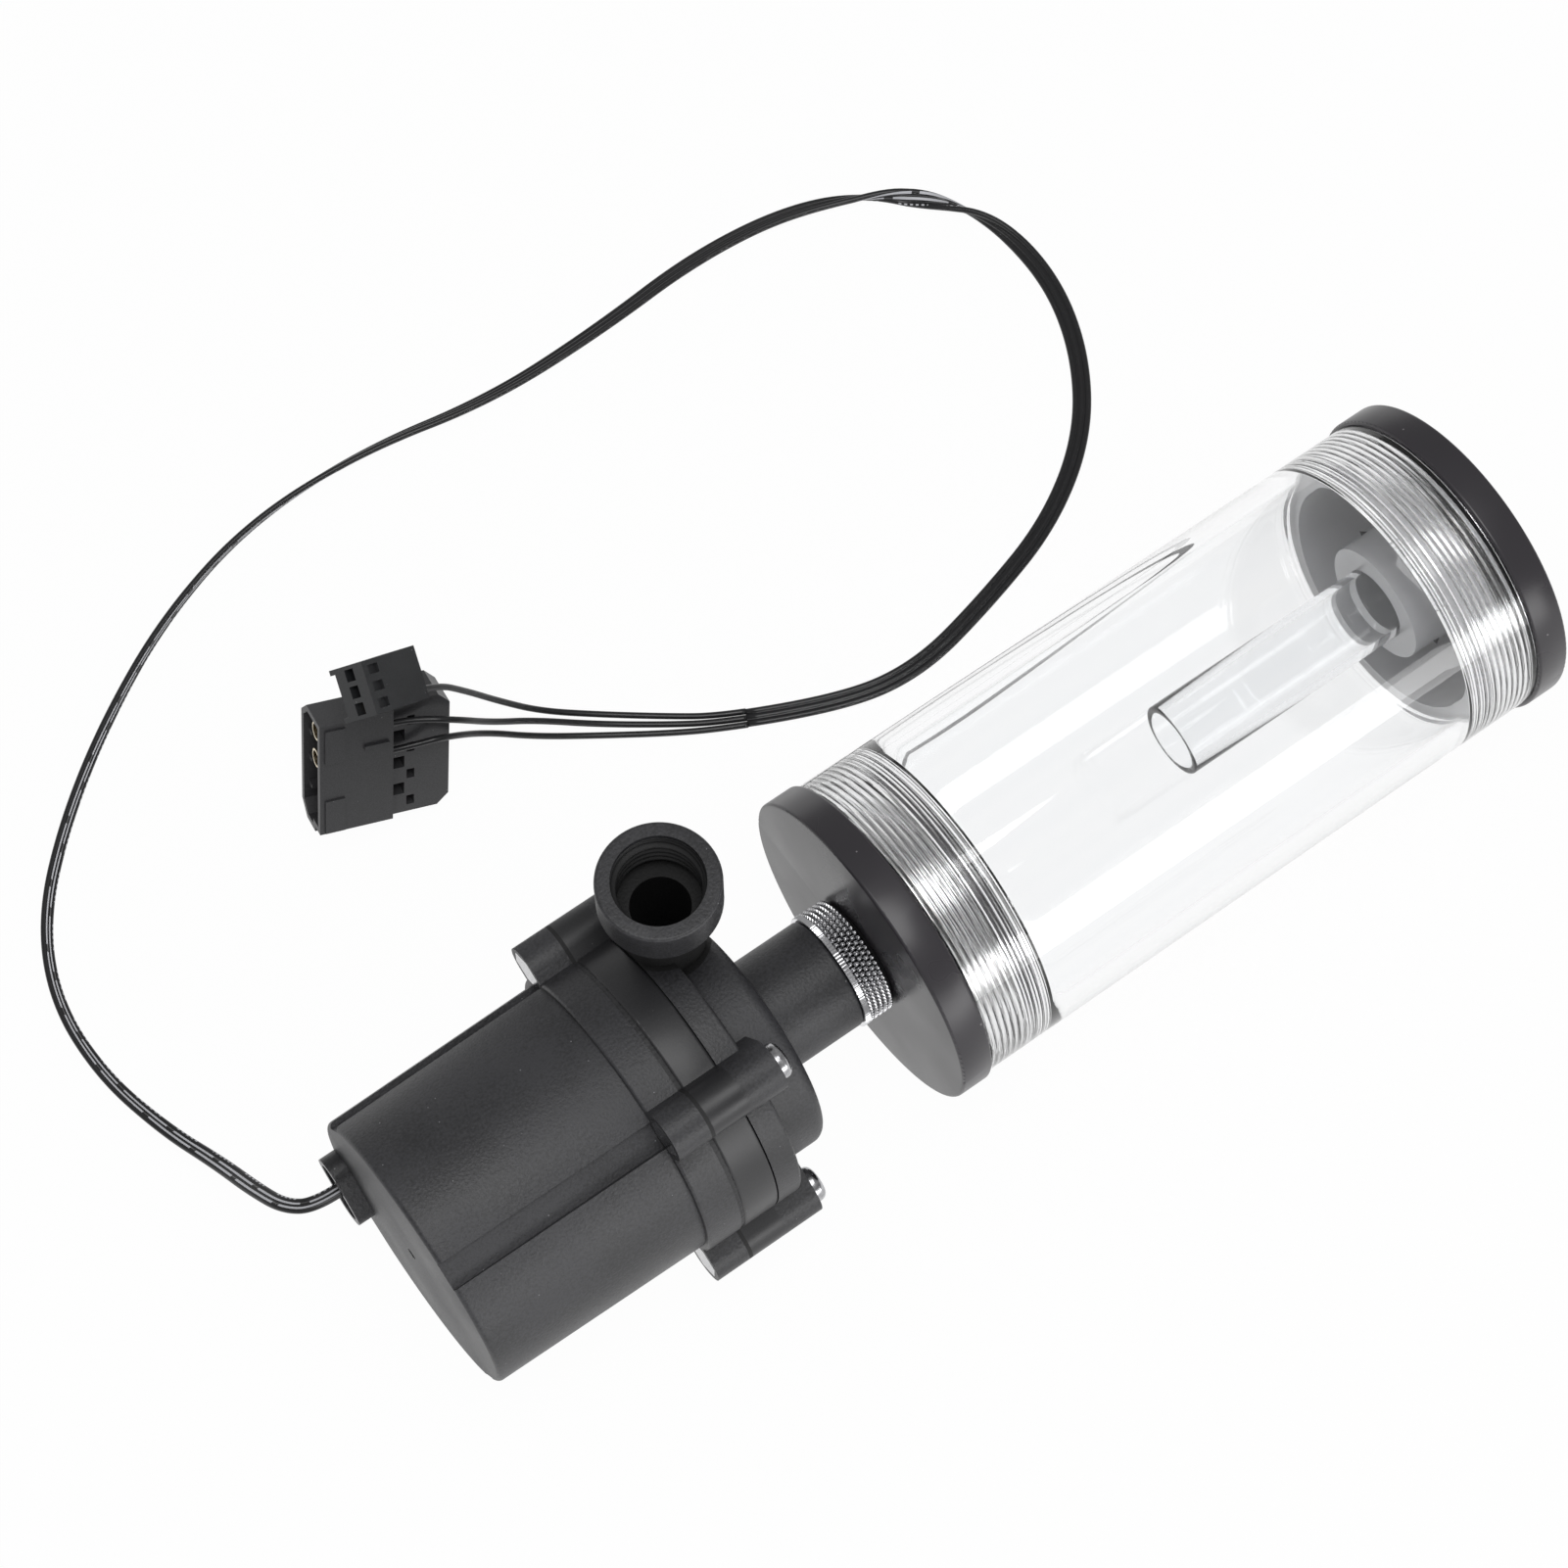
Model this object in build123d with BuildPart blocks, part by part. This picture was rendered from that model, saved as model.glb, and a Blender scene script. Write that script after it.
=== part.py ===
from build123d import *
import os
from math import cos, pi, radians, sin, sqrt, tan

os.makedirs("parts", exist_ok=True)

# An in-line centrifugal water pump screwed to a clear cylinder reservoir, lying on a table.
# Millimetres. +X runs along the pump's axis to the far end of the reservoir, +Z is the outlet.
# The origin is the middle of the footprint on the table, below the pump's axis.

# Reservoir
tank_length = 110.0
cap_radius = 25.0
cap_thickness = 5.2
cap_edge = 0.5
tube_radius = 24.4
tube_wall = 3.0
plug_length = 10.4
plug_wall = 2.4
plug_gap = 0.2
cap_boss_radius = 9.4
cap_boss_height = 4.4
drop_tube_radius = 5.8
drop_tube_wall = 1.1
drop_tube_length = 45.0
drop_seat_length = 7.0

# Threaded ports, G 1/4, and the fitting that joins pump and reservoir
port_radius = 6.6
port_depth = 9.0
thread_gap = 0.1
fitting_thread_length = 7.0
fitting_bore = 4.6
collar_length = 5.0
collar_radius = 9.2
collar_groove_width = 0.5
collar_groove_depth = 0.35
collar_grooves = 3
seal_gap = 0.4
seal_section = 0.5
seal_radius = 7.8

# Pump housing, from the rear to the inlet nozzle
lip_height = 2.5
motor_length = 34.5
rear_flange = 6.0
middle_ring = 5.8
front_flange = 4.0
volute_depth = 7.6
nozzle_length = 13.5
gasket_thickness = 0.6
motor_radius = 21.5
motor_draft = 0.4
motor_edge = 0.8
motor_wall = 2.4
motor_floor = 2.5
flange_radius = 22.9
flange_edge = 0.5
volute_radius = 18.7
volute_edge = 2.0
volute_wall = 2.4
chamber_radius = 16.3
nozzle_radius = 8.7
throat_radius = 5.0

# Screw lugs round the flanges
lug_count = 4
lug_angle = 121.5
bolt_circle = 24.4
lug_radius = 3.8
lug_web = 6.0
front_lug_length = 6.3
screw_radius = 1.5
screw_hole = 1.65
screw_head_radius = 2.75
screw_head_height = 1.9
socket_radius = 1.1
socket_depth = 1.0
nut_across = 5.5
nut_thickness = 2.4
nut_gap = 0.08
channel_width = 4.3
channel_depth = 0.9
gate_mark_radius = 0.9
gate_mark_depth = 0.5

# Outlet port
outlet_setback = 6.05
outlet_offset = 12.2
outlet_height = 38.3
outlet_radius = 8.75
outlet_collar = 6.3
outlet_bore = 4.3
outlet_floor = 5.0
neck_radius = 7.9
neck_across = 11.1
neck_along = 11.0
neck_corner = 4.5
neck_straight = 24.0

# Cable slot in the motor's rear face
slot_y = 16.0
slot_z = -8.0
slot_tilt = 53.0
slot_length = 10.0
slot_width = 4.0
slot_wall = 1.0
grommet_recess = 0.6
slip = 0.1

# Motor inside the housing
board_thickness = 1.6
board_seat = 2.0
board_ledge = 1.6
board_space = 2.6
stator_length = 19.0
stator_yoke = 2.4
tooth_count = 6
tooth_width = 4.0
tooth_shoe = 1.6
shoe_width = 8.0
coil_build = 1.9
coil_overhang = 2.4
coil_slack = 0.15
can_radius = 9.9
can_wall = 0.9
can_end = 1.2
can_gap = 0.8
recess_depth = 2.0
recess_radius = 16.6

# Rotor on its fixed ceramic shaft
shaft_radius = 1.5
seat_gap = 0.02
running_gap = 0.05
shaft_seat_radius = 3.0
shaft_seat_length = 3.6
washer_thickness = 0.6
end_play = 0.2
bush_radius = 3.0
bush_length = 6.0
sleeve_radius = 4.6
magnet_radius = 8.3
magnet_length = 18.0
impeller_radius = 14.0
impeller_plate = 1.2
impeller_clearance = 0.5
blade_clearance = 1.0
blade_count = 6
blade_thickness = 1.3
blade_root = 5.6
blade_lag = 48.0
hub_stand = 0.5
spider_boss_radius = 2.8
spider_length = 3.6
spider_legs = 3
spider_leg_width = 1.5

# Static seal between the rotor can and the front cover
o_ring_section = 0.9
o_ring_radius = 19.6

# Cable and its connectors
cable_radius = 1.3
lead_radius = 0.55
lead_pitch = 1.12

# Stations along the pump's axis
overall = (
    lip_height + motor_length + rear_flange + middle_ring + front_flange
    + volute_depth + nozzle_length + collar_length + seal_gap + tank_length
)
axis_z = cap_radius
lip_x = -overall / 2
rear_x = lip_x + lip_height
motor_front_x = rear_x + motor_length
ring_rear_x = motor_front_x + rear_flange
gasket_x = ring_rear_x - gasket_thickness
ring_front_x = ring_rear_x + middle_ring
flange_front_x = ring_front_x + front_flange
volute_front_x = flange_front_x + volute_depth
nozzle_end_x = volute_front_x + nozzle_length
collar_end_x = nozzle_end_x + collar_length
tank_near_x = collar_end_x + seal_gap
tank_far_x = tank_near_x + tank_length
tube_bore = tube_radius - tube_wall
plug_radius = tube_bore - plug_gap
outlet_x = volute_front_x - outlet_setback
cavity_radius = motor_radius - motor_wall
floor_x = rear_x + motor_floor
board_x = floor_x + board_seat
board_front_x = board_x + board_thickness
can_end_x = board_front_x + can_gap
can_floor_x = can_end_x + can_end
can_bore = can_radius - can_wall
stator_x = board_front_x + board_space + coil_overhang
rotor_x = can_floor_x + shaft_seat_length + washer_thickness + end_play
plate_x = ring_front_x - recess_depth + impeller_clearance
chamber_front_x = volute_front_x - volute_wall
blade_front_x = chamber_front_x - blade_clearance
hub_front_x = blade_front_x + hub_stand
spider_x = hub_front_x + end_play + washer_thickness
spider_end_x = spider_x + spider_length

pump_axis = Axis((0, 0, axis_z), (1, 0, 0))
profile_plane = Plane(origin=(0, 0, axis_z), x_dir=(1, 0, 0), z_dir=(0, -1, 0))


def station(x):
    # A plane across the pump's axis, with its first direction +Y and its second +Z.
    return Plane(origin=(x, 0, axis_z), x_dir=(0, 1, 0), z_dir=(1, 0, 0))


def round_corner(sketch, x, radius, size):
    # Rounds the profile corner nearest to a place given along and out from the axis.
    fillet(sketch.vertices().sort_by_distance((x, radius, 0))[0], radius=size)


def lug_outline():
    with PolarLocations(bolt_circle, lug_count, start_angle=lug_angle):
        Circle(lug_radius)
    with PolarLocations(bolt_circle - lug_web / 2, lug_count, start_angle=lug_angle):
        Rectangle(lug_web, 2 * lug_radius)


def lug_circles(radius):
    with PolarLocations(bolt_circle, lug_count, start_angle=lug_angle):
        Circle(radius)


def keep(part, label):
    part.label = label
    export_step(part, f"parts/{label}.step")


# Motor housing: a deep moulded cup with a screw flange, open towards the rotor can
with BuildPart() as motor_housing:
    with BuildSketch(profile_plane) as cup_profile:
        with BuildLine():
            Polyline(
                (rear_x, 0),
                (rear_x, motor_radius),
                (motor_front_x, motor_radius + motor_draft),
                (motor_front_x, flange_radius),
                (gasket_x, flange_radius),
                (gasket_x, 0),
                close=True,
            )
        make_face()
        round_corner(cup_profile, rear_x, motor_radius, motor_edge)
        round_corner(cup_profile, motor_front_x, flange_radius, flange_edge)
    revolve(axis=pump_axis)
    with BuildSketch(station(motor_front_x)):
        lug_outline()
    extrude(amount=gasket_x - motor_front_x)
    with BuildSketch(station(rear_x)):
        with PolarLocations(motor_radius, lug_count, start_angle=lug_angle):
            Rectangle(2 * channel_depth, channel_width)
    extrude(amount=motor_length, mode=Mode.SUBTRACT)
    with BuildSketch(station(rear_x)):
        with Locations((slot_y, slot_z)):
            SlotOverall(slot_length + 2 * slot_wall, slot_width + 2 * slot_wall, rotation=slot_tilt)
    extrude(amount=-lip_height)
    with BuildSketch(station(floor_x)):
        Circle(cavity_radius - board_ledge)
    extrude(amount=board_seat, mode=Mode.SUBTRACT)
    with BuildSketch(station(board_x)):
        Circle(cavity_radius)
    extrude(amount=gasket_x - board_x, mode=Mode.SUBTRACT)
    with BuildSketch(station(lip_x)):
        with Locations((slot_y, slot_z)):
            SlotOverall(slot_length, slot_width, rotation=slot_tilt)
    extrude(amount=lip_height + motor_floor + board_seat, mode=Mode.SUBTRACT)
    with BuildSketch(station(motor_front_x)):
        lug_circles(screw_hole)
    extrude(amount=rear_flange, mode=Mode.SUBTRACT)
    with BuildSketch(station(motor_front_x)):
        with PolarLocations(bolt_circle, lug_count, start_angle=lug_angle):
            RegularPolygon(nut_across / 2 + nut_gap, 6, major_radius=False)
    extrude(amount=nut_thickness, mode=Mode.SUBTRACT)
    with BuildSketch(station(rear_x)):
        Circle(gate_mark_radius)
    extrude(amount=gate_mark_depth, mode=Mode.SUBTRACT)
keep(motor_housing.part, "motor_housing")

# Cable grommet: the rubber plug that fills the slot behind the wires
with BuildPart() as cable_grommet:
    with BuildSketch(station(lip_x + grommet_recess)):
        with Locations((slot_y, slot_z)):
            SlotOverall(slot_length - 2 * slip, slot_width - 2 * slip, rotation=slot_tilt)
    extrude(amount=floor_x - lip_x - grommet_recess)
keep(cable_grommet.part, "cable_grommet")

# Driver board on its ledge, and the parts soldered to it
board_radius = cavity_radius - slip
with BuildPart() as driver_board:
    with BuildSketch(station(board_x)):
        Circle(board_radius)
    extrude(amount=board_thickness)
keep(driver_board.part, "driver_board")

chip_size = (6.0, 5.0, 1.2)
sensor_size = (4.0, 3.0, 1.4)
capacitor_radius = 2.0
capacitor_height = 2.0
with BuildPart() as board_components:
    with BuildSketch(station(board_front_x)):
        with Locations((-board_radius * 0.72, 0)):
            Rectangle(chip_size[0], chip_size[1])
    extrude(amount=chip_size[2])
    with BuildSketch(station(board_front_x)):
        with Locations((0, board_radius * 0.72)):
            Rectangle(sensor_size[0], sensor_size[1])
    extrude(amount=sensor_size[2])
    with BuildSketch(station(board_front_x)):
        with Locations((board_radius * 0.5, board_radius * 0.5), (0, -board_radius * 0.72)):
            Circle(capacitor_radius)
    extrude(amount=capacitor_height)
keep(board_components.part, "board_components")

# Stator: a laminated ring with six shoed teeth round the rotor can
stator_radius = cavity_radius - slip
tooth_bore = can_radius + slip
with BuildPart() as stator_core:
    with BuildSketch(station(stator_x)):
        Circle(stator_radius)
        Circle(stator_radius - stator_yoke, mode=Mode.SUBTRACT)
        with PolarLocations((stator_radius - stator_yoke + tooth_bore) / 2, tooth_count):
            Rectangle(stator_radius - tooth_bore, tooth_width)
        with PolarLocations(tooth_bore + tooth_shoe / 2, tooth_count):
            Rectangle(tooth_shoe, shoe_width)
        Circle(tooth_bore, mode=Mode.SUBTRACT)
    extrude(amount=stator_length)
keep(stator_core.part, "stator_core")

# Windings: one coil slipped round each tooth
coil_inner_radius = tooth_bore + tooth_shoe + coil_slack
coil_hole_length = stator_length + 2 * coil_slack
coil_hole_width = tooth_width + 2 * coil_slack
coil_half_width = coil_hole_width / 2 + coil_build
coil_outer_radius = sqrt((stator_radius - stator_yoke - coil_slack) ** 2 - coil_half_width**2)
with BuildPart() as stator_windings:
    for tooth in range(tooth_count):
        angle = radians(tooth * 360 / tooth_count)
        outward = Vector(0, cos(angle), sin(angle))
        middle = Vector(stator_x + stator_length / 2, 0, axis_z) + outward * coil_inner_radius
        with BuildSketch(Plane(origin=middle, x_dir=(1, 0, 0), z_dir=outward)):
            RectangleRounded(coil_hole_length + 2 * coil_overhang, 2 * coil_half_width, coil_build)
            Rectangle(coil_hole_length, coil_hole_width, mode=Mode.SUBTRACT)
        extrude(amount=coil_outer_radius - coil_inner_radius)
keep(stator_windings.part, "stator_windings")

# Rotor can: the thin wet sleeve and the thick middle ring, moulded in one piece
with BuildPart() as rotor_can:
    with BuildSketch(profile_plane) as can_profile:
        with BuildLine():
            Polyline(
                (can_end_x, 0),
                (can_end_x, can_radius),
                (ring_rear_x, can_radius),
                (ring_rear_x, flange_radius),
                (ring_front_x, flange_radius),
                (ring_front_x, recess_radius),
                (ring_front_x - recess_depth, recess_radius),
                (ring_front_x - recess_depth, can_bore),
                (can_floor_x, can_bore),
                (can_floor_x, 0),
                close=True,
            )
        make_face()
        round_corner(can_profile, ring_rear_x, flange_radius, flange_edge)
        round_corner(can_profile, ring_front_x, flange_radius, flange_edge)
    revolve(axis=pump_axis)
    with BuildSketch(station(can_floor_x)):
        Circle(shaft_seat_radius)
    extrude(amount=shaft_seat_length)
    with BuildSketch(station(can_floor_x)):
        Circle(shaft_radius + seat_gap)
    extrude(amount=shaft_seat_length, mode=Mode.SUBTRACT)
    with BuildSketch(station(ring_rear_x)):
        lug_outline()
        Circle(flange_radius - 2 * flange_edge, mode=Mode.SUBTRACT)
    extrude(amount=middle_ring)
    with BuildSketch(station(ring_rear_x)):
        lug_circles(screw_hole)
    extrude(amount=middle_ring, mode=Mode.SUBTRACT)
    with BuildSketch(station(ring_front_x)):
        Circle(o_ring_radius + o_ring_section)
        Circle(o_ring_radius - o_ring_section, mode=Mode.SUBTRACT)
    extrude(amount=-2 * o_ring_section, mode=Mode.SUBTRACT)
keep(rotor_can.part, "rotor_can")

# Housing gasket: a flat ring with ears for the screws
with BuildPart() as housing_gasket:
    with BuildSketch(station(gasket_x)):
        Circle(flange_radius - flange_edge)
        lug_outline()
        Circle(cavity_radius + slip, mode=Mode.SUBTRACT)
    extrude(amount=gasket_thickness)
    with BuildSketch(station(gasket_x)):
        lug_circles(screw_hole)
    extrude(amount=gasket_thickness, mode=Mode.SUBTRACT)
keep(housing_gasket.part, "housing_gasket")

# Cover seal: the ring cord between the rotor can and the front cover
with BuildPart() as cover_seal:
    with BuildSketch(profile_plane):
        with Locations((ring_front_x - o_ring_section, o_ring_radius)):
            Circle(o_ring_section)
    revolve(axis=pump_axis)
keep(cover_seal.part, "cover_seal")

# Front cover: the volute with its inlet nozzle, outlet port, lugs and the spider for the shaft
outlet_top = axis_z + outlet_height
thread_floor_x = nozzle_end_x - port_depth
with BuildPart() as volute_cover:
    with BuildSketch(profile_plane) as volute_profile:
        with BuildLine():
            Polyline(
                (ring_front_x, 0),
                (ring_front_x, flange_radius),
                (flange_front_x, flange_radius),
                (flange_front_x, volute_radius),
                (volute_front_x, volute_radius),
                (volute_front_x, nozzle_radius),
                (nozzle_end_x, nozzle_radius),
                (nozzle_end_x, 0),
                close=True,
            )
        make_face()
        round_corner(volute_profile, flange_front_x, flange_radius, flange_edge)
        round_corner(volute_profile, volute_front_x, volute_radius, volute_edge)
        round_corner(volute_profile, nozzle_end_x, nozzle_radius, flange_edge)
    revolve(axis=pump_axis)
    with BuildSketch(station(ring_front_x)):
        lug_outline()
    extrude(amount=front_lug_length)
    with BuildSketch(Plane.XY.offset(axis_z)):
        with Locations((outlet_x, outlet_offset)):
            RectangleRounded(neck_across, neck_along, neck_corner)
    extrude(amount=neck_straight)
    with BuildSketch(Plane.XY.offset(axis_z + neck_straight)):
        with Locations((outlet_x, outlet_offset)):
            RectangleRounded(neck_across, neck_along, neck_corner)
    with BuildSketch(Plane.XY.offset(outlet_top - outlet_collar)):
        with Locations((outlet_x, outlet_offset)):
            Circle(neck_radius)
    loft()
    with BuildSketch(Plane.XY.offset(outlet_top - outlet_collar)):
        with Locations((outlet_x, outlet_offset)):
            Circle(outlet_radius)
    extrude(amount=outlet_collar)
    port_rims = volute_cover.edges().filter_by(GeomType.CIRCLE).group_by(Axis.Z)[-1]
    fillet(port_rims, radius=flange_edge)
    with BuildSketch(station(ring_front_x)):
        Circle(chamber_radius)
    extrude(amount=chamber_front_x - ring_front_x, mode=Mode.SUBTRACT)
    with BuildSketch(station(chamber_front_x)):
        Circle(throat_radius)
    extrude(amount=nozzle_end_x - chamber_front_x, mode=Mode.SUBTRACT)
    with BuildSketch(station(thread_floor_x)):
        Circle(port_radius)
    extrude(amount=port_depth, mode=Mode.SUBTRACT)
    with BuildSketch(Plane.XY.offset(axis_z + outlet_floor)):
        with Locations((outlet_x, outlet_offset)):
            Circle(outlet_bore)
    extrude(amount=outlet_height - outlet_floor, mode=Mode.SUBTRACT)
    with BuildSketch(Plane.XY.offset(outlet_top - port_depth)):
        with Locations((outlet_x, outlet_offset)):
            Circle(port_radius)
    extrude(amount=port_depth, mode=Mode.SUBTRACT)
    with BuildSketch(station(spider_x)):
        Circle(spider_boss_radius)
        with PolarLocations((throat_radius + volute_wall / 2) / 2, spider_legs):
            Rectangle(throat_radius + volute_wall / 2, spider_leg_width)
        Circle(shaft_radius + seat_gap, mode=Mode.SUBTRACT)
    extrude(amount=spider_length)
    with BuildSketch(station(ring_front_x)):
        lug_circles(screw_hole)
    extrude(amount=front_lug_length, mode=Mode.SUBTRACT)
keep(volute_cover.part, "volute_cover")

# Shaft: a polished ceramic pin held at the can's floor and in the spider
with BuildPart() as pump_shaft:
    with BuildSketch(station(can_floor_x)):
        Circle(shaft_radius)
    extrude(amount=spider_end_x - can_floor_x)
keep(pump_shaft.part, "pump_shaft")

# Thrust washers at both ends of the rotor
with BuildPart() as thrust_washers:
    for start_x in (can_floor_x + shaft_seat_length, spider_x - washer_thickness):
        with BuildSketch(station(start_x)):
            Circle(shaft_seat_radius - slip)
            Circle(shaft_radius + seat_gap, mode=Mode.SUBTRACT)
        extrude(amount=washer_thickness)
keep(thrust_washers.part, "thrust_washers")

# Rotor bushes: two carbon sleeves that run on the shaft
with BuildPart() as rotor_bushes:
    for start_x in (rotor_x, hub_front_x - bush_length):
        with BuildSketch(station(start_x)):
            Circle(bush_radius)
            Circle(shaft_radius + running_gap, mode=Mode.SUBTRACT)
        extrude(amount=bush_length)
keep(rotor_bushes.part, "rotor_bushes")

# Rotor magnet: a ring magnet on the impeller's sleeve
with BuildPart() as rotor_magnet:
    with BuildSketch(station(stator_x + (stator_length - magnet_length) / 2)):
        Circle(magnet_radius)
        Circle(sleeve_radius + seat_gap, mode=Mode.SUBTRACT)
    extrude(amount=magnet_length)
keep(rotor_magnet.part, "rotor_magnet")


def on_circle(radius, degrees_round):
    return (radius * cos(radians(degrees_round)), radius * sin(radians(degrees_round)))


# Impeller: a long sleeve, a back plate and six blades that lean back from the turning direction
with BuildPart() as impeller:
    with BuildSketch(station(rotor_x)):
        Circle(sleeve_radius)
    extrude(amount=hub_front_x - rotor_x)
    with BuildSketch(station(plate_x)):
        Circle(impeller_radius)
    extrude(amount=impeller_plate)
    with BuildSketch(station(plate_x + impeller_plate)):
        for blade in range(blade_count):
            start = blade * 360 / blade_count
            root_width = blade_thickness / blade_root / radians(1)
            tip_width = blade_thickness / impeller_radius / radians(1)
            root = sleeve_radius - blade_thickness / 2
            half_way = (root + impeller_radius) / 2
            with BuildLine():
                ThreePointArc(
                    on_circle(root, start),
                    on_circle(half_way, start + 0.35 * blade_lag),
                    on_circle(impeller_radius, start + blade_lag),
                )
                Line(
                    on_circle(impeller_radius, start + blade_lag),
                    on_circle(impeller_radius, start + blade_lag + tip_width),
                )
                ThreePointArc(
                    on_circle(impeller_radius, start + blade_lag + tip_width),
                    on_circle(half_way, start + 0.35 * blade_lag + (root_width + tip_width) / 2),
                    on_circle(root, start + root_width),
                )
                Line(on_circle(root, start + root_width), on_circle(root, start))
            make_face()
    extrude(amount=blade_front_x - plate_x - impeller_plate)
    with BuildSketch(station(rotor_x)):
        Circle(bush_radius + seat_gap)
    extrude(amount=hub_front_x - rotor_x, mode=Mode.SUBTRACT)
keep(impeller.part, "impeller")

# Cover screws: four button-head machine screws through the three flanges
lug_front_x = ring_front_x + front_lug_length
nut_rear_x = motor_front_x
with BuildPart() as cover_screws:
    with BuildSketch(station(nut_rear_x)):
        lug_circles(screw_radius)
    extrude(amount=lug_front_x - nut_rear_x)
    with BuildSketch(station(lug_front_x)):
        lug_circles(screw_head_radius)
    extrude(amount=screw_head_height)
    head_rims = cover_screws.edges().filter_by(GeomType.CIRCLE).group_by(Axis.X)[-1]
    fillet(head_rims, radius=screw_head_height * 0.6)
    with BuildSketch(station(lug_front_x + screw_head_height - socket_depth)):
        with PolarLocations(bolt_circle, lug_count, start_angle=lug_angle):
            RegularPolygon(socket_radius, 6)
    extrude(amount=socket_depth, mode=Mode.SUBTRACT)
keep(cover_screws.part, "cover_screws")

# Screw nuts: steel hexagons let into the rear lugs
with BuildPart() as screw_nuts:
    with BuildSketch(station(motor_front_x)):
        with PolarLocations(bolt_circle, lug_count, start_angle=lug_angle):
            RegularPolygon(nut_across / 2, 6, major_radius=False)
            Circle(screw_radius + seat_gap, mode=Mode.SUBTRACT)
    extrude(amount=nut_thickness)
keep(screw_nuts.part, "screw_nuts")

# Joining fitting: a plated double male thread with a grooved finger collar
male_radius = port_radius - thread_gap
fitting_x = nozzle_end_x - fitting_thread_length
fitting_end_x = tank_near_x + fitting_thread_length
groove_pitch = collar_length / (collar_grooves + 1)
with BuildPart() as joining_fitting:
    with BuildSketch(profile_plane):
        with BuildLine():
            Polyline(
                (fitting_x, fitting_bore),
                (fitting_x, male_radius),
                (nozzle_end_x, male_radius),
                (nozzle_end_x, collar_radius),
                (collar_end_x, collar_radius),
                (collar_end_x, male_radius),
                (fitting_end_x, male_radius),
                (fitting_end_x, fitting_bore),
                close=True,
            )
        make_face()
        for groove in range(collar_grooves):
            with Locations((nozzle_end_x + (groove + 1) * groove_pitch, collar_radius)):
                Rectangle(collar_groove_width, 2 * collar_groove_depth, mode=Mode.SUBTRACT)
        with Locations((nozzle_end_x + seal_section, seal_radius)):
            Rectangle(2 * seal_section, 2 * seal_section + slip, mode=Mode.SUBTRACT)
        with Locations((tank_near_x - seal_section, seal_radius)):
            Rectangle(2 * seal_section, 2 * seal_section + slip, mode=Mode.SUBTRACT)
    revolve(axis=pump_axis)
keep(joining_fitting.part, "joining_fitting")

# Fitting seals: one rubber ring against the nozzle and one against the reservoir
with BuildPart() as fitting_seals:
    with BuildSketch(profile_plane):
        with Locations(
            (nozzle_end_x + seal_section, seal_radius),
            (tank_near_x - seal_section, seal_radius),
        ):
            Circle(seal_section)
    revolve(axis=pump_axis)
keep(fitting_seals.part, "fitting_seals")

# Reservoir caps: black screw plugs with a threaded port, one for each end of the tube
cap_groove_start = 1.0
cap_ring_section = 0.8


def cap_ring_x(outer_x, inward):
    return outer_x + inward * (cap_thickness + cap_groove_start + cap_ring_section)


def cap_solid(outer_x, inward):
    # A disc, a hollow plug and a port boss, with a groove for the seal.
    inner_x = outer_x + inward * cap_thickness
    plug_x = inner_x + inward * plug_length
    with BuildPart() as cap:
        with BuildSketch(profile_plane) as cap_profile:
            with BuildLine():
                Polyline(
                    (outer_x, 0),
                    (outer_x, cap_radius),
                    (inner_x, cap_radius),
                    (inner_x, plug_radius),
                    (plug_x, plug_radius),
                    (plug_x, plug_radius - plug_wall),
                    (inner_x, plug_radius - plug_wall),
                    (inner_x, cap_boss_radius),
                    (inner_x + inward * cap_boss_height, cap_boss_radius),
                    (inner_x + inward * cap_boss_height, 0),
                    close=True,
                )
            make_face()
            round_corner(cap_profile, outer_x, cap_radius, cap_edge)
            round_corner(cap_profile, inner_x, cap_radius, cap_edge)
            with Locations((cap_ring_x(outer_x, inward), plug_radius)):
                Rectangle(
                    2 * cap_ring_section + slip,
                    2 * (2 * cap_ring_section - plug_gap),
                    mode=Mode.SUBTRACT,
                )
        revolve(axis=pump_axis)
    return cap.part


with BuildPart() as pump_side_cap:
    add(cap_solid(tank_near_x, 1))
    with BuildSketch(station(tank_near_x)):
        Circle(port_radius)
    extrude(amount=cap_thickness + cap_boss_height, mode=Mode.SUBTRACT)
keep(pump_side_cap.part, "pump_side_cap")

drop_seat_x = tank_far_x - port_depth
with BuildPart() as end_cap:
    add(cap_solid(tank_far_x, -1))
    with BuildSketch(station(tank_far_x)):
        Circle(port_radius)
    extrude(amount=-(cap_thickness + cap_boss_height), mode=Mode.SUBTRACT)
    with BuildSketch(station(drop_seat_x)):
        Circle(cap_boss_radius)
        Circle(drop_tube_radius + seat_gap, mode=Mode.SUBTRACT)
    extrude(amount=-drop_seat_length)
keep(end_cap.part, "end_cap")

with BuildPart() as cap_seals:
    with BuildSketch(profile_plane):
        with Locations(
            (cap_ring_x(tank_near_x, 1), tube_bore - cap_ring_section),
            (cap_ring_x(tank_far_x, -1), tube_bore - cap_ring_section),
        ):
            Circle(cap_ring_section)
    revolve(axis=pump_axis)
keep(cap_seals.part, "cap_seals")

# Reservoir tube: clear cast acrylic between the two caps
tube_start_x = tank_near_x + cap_thickness
tube_end_x = tank_far_x - cap_thickness
with BuildPart() as reservoir_tube:
    with BuildSketch(station(tube_start_x)):
        Circle(tube_radius)
        Circle(tube_bore, mode=Mode.SUBTRACT)
    extrude(amount=tube_end_x - tube_start_x)
keep(reservoir_tube.part, "reservoir_tube")

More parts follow.
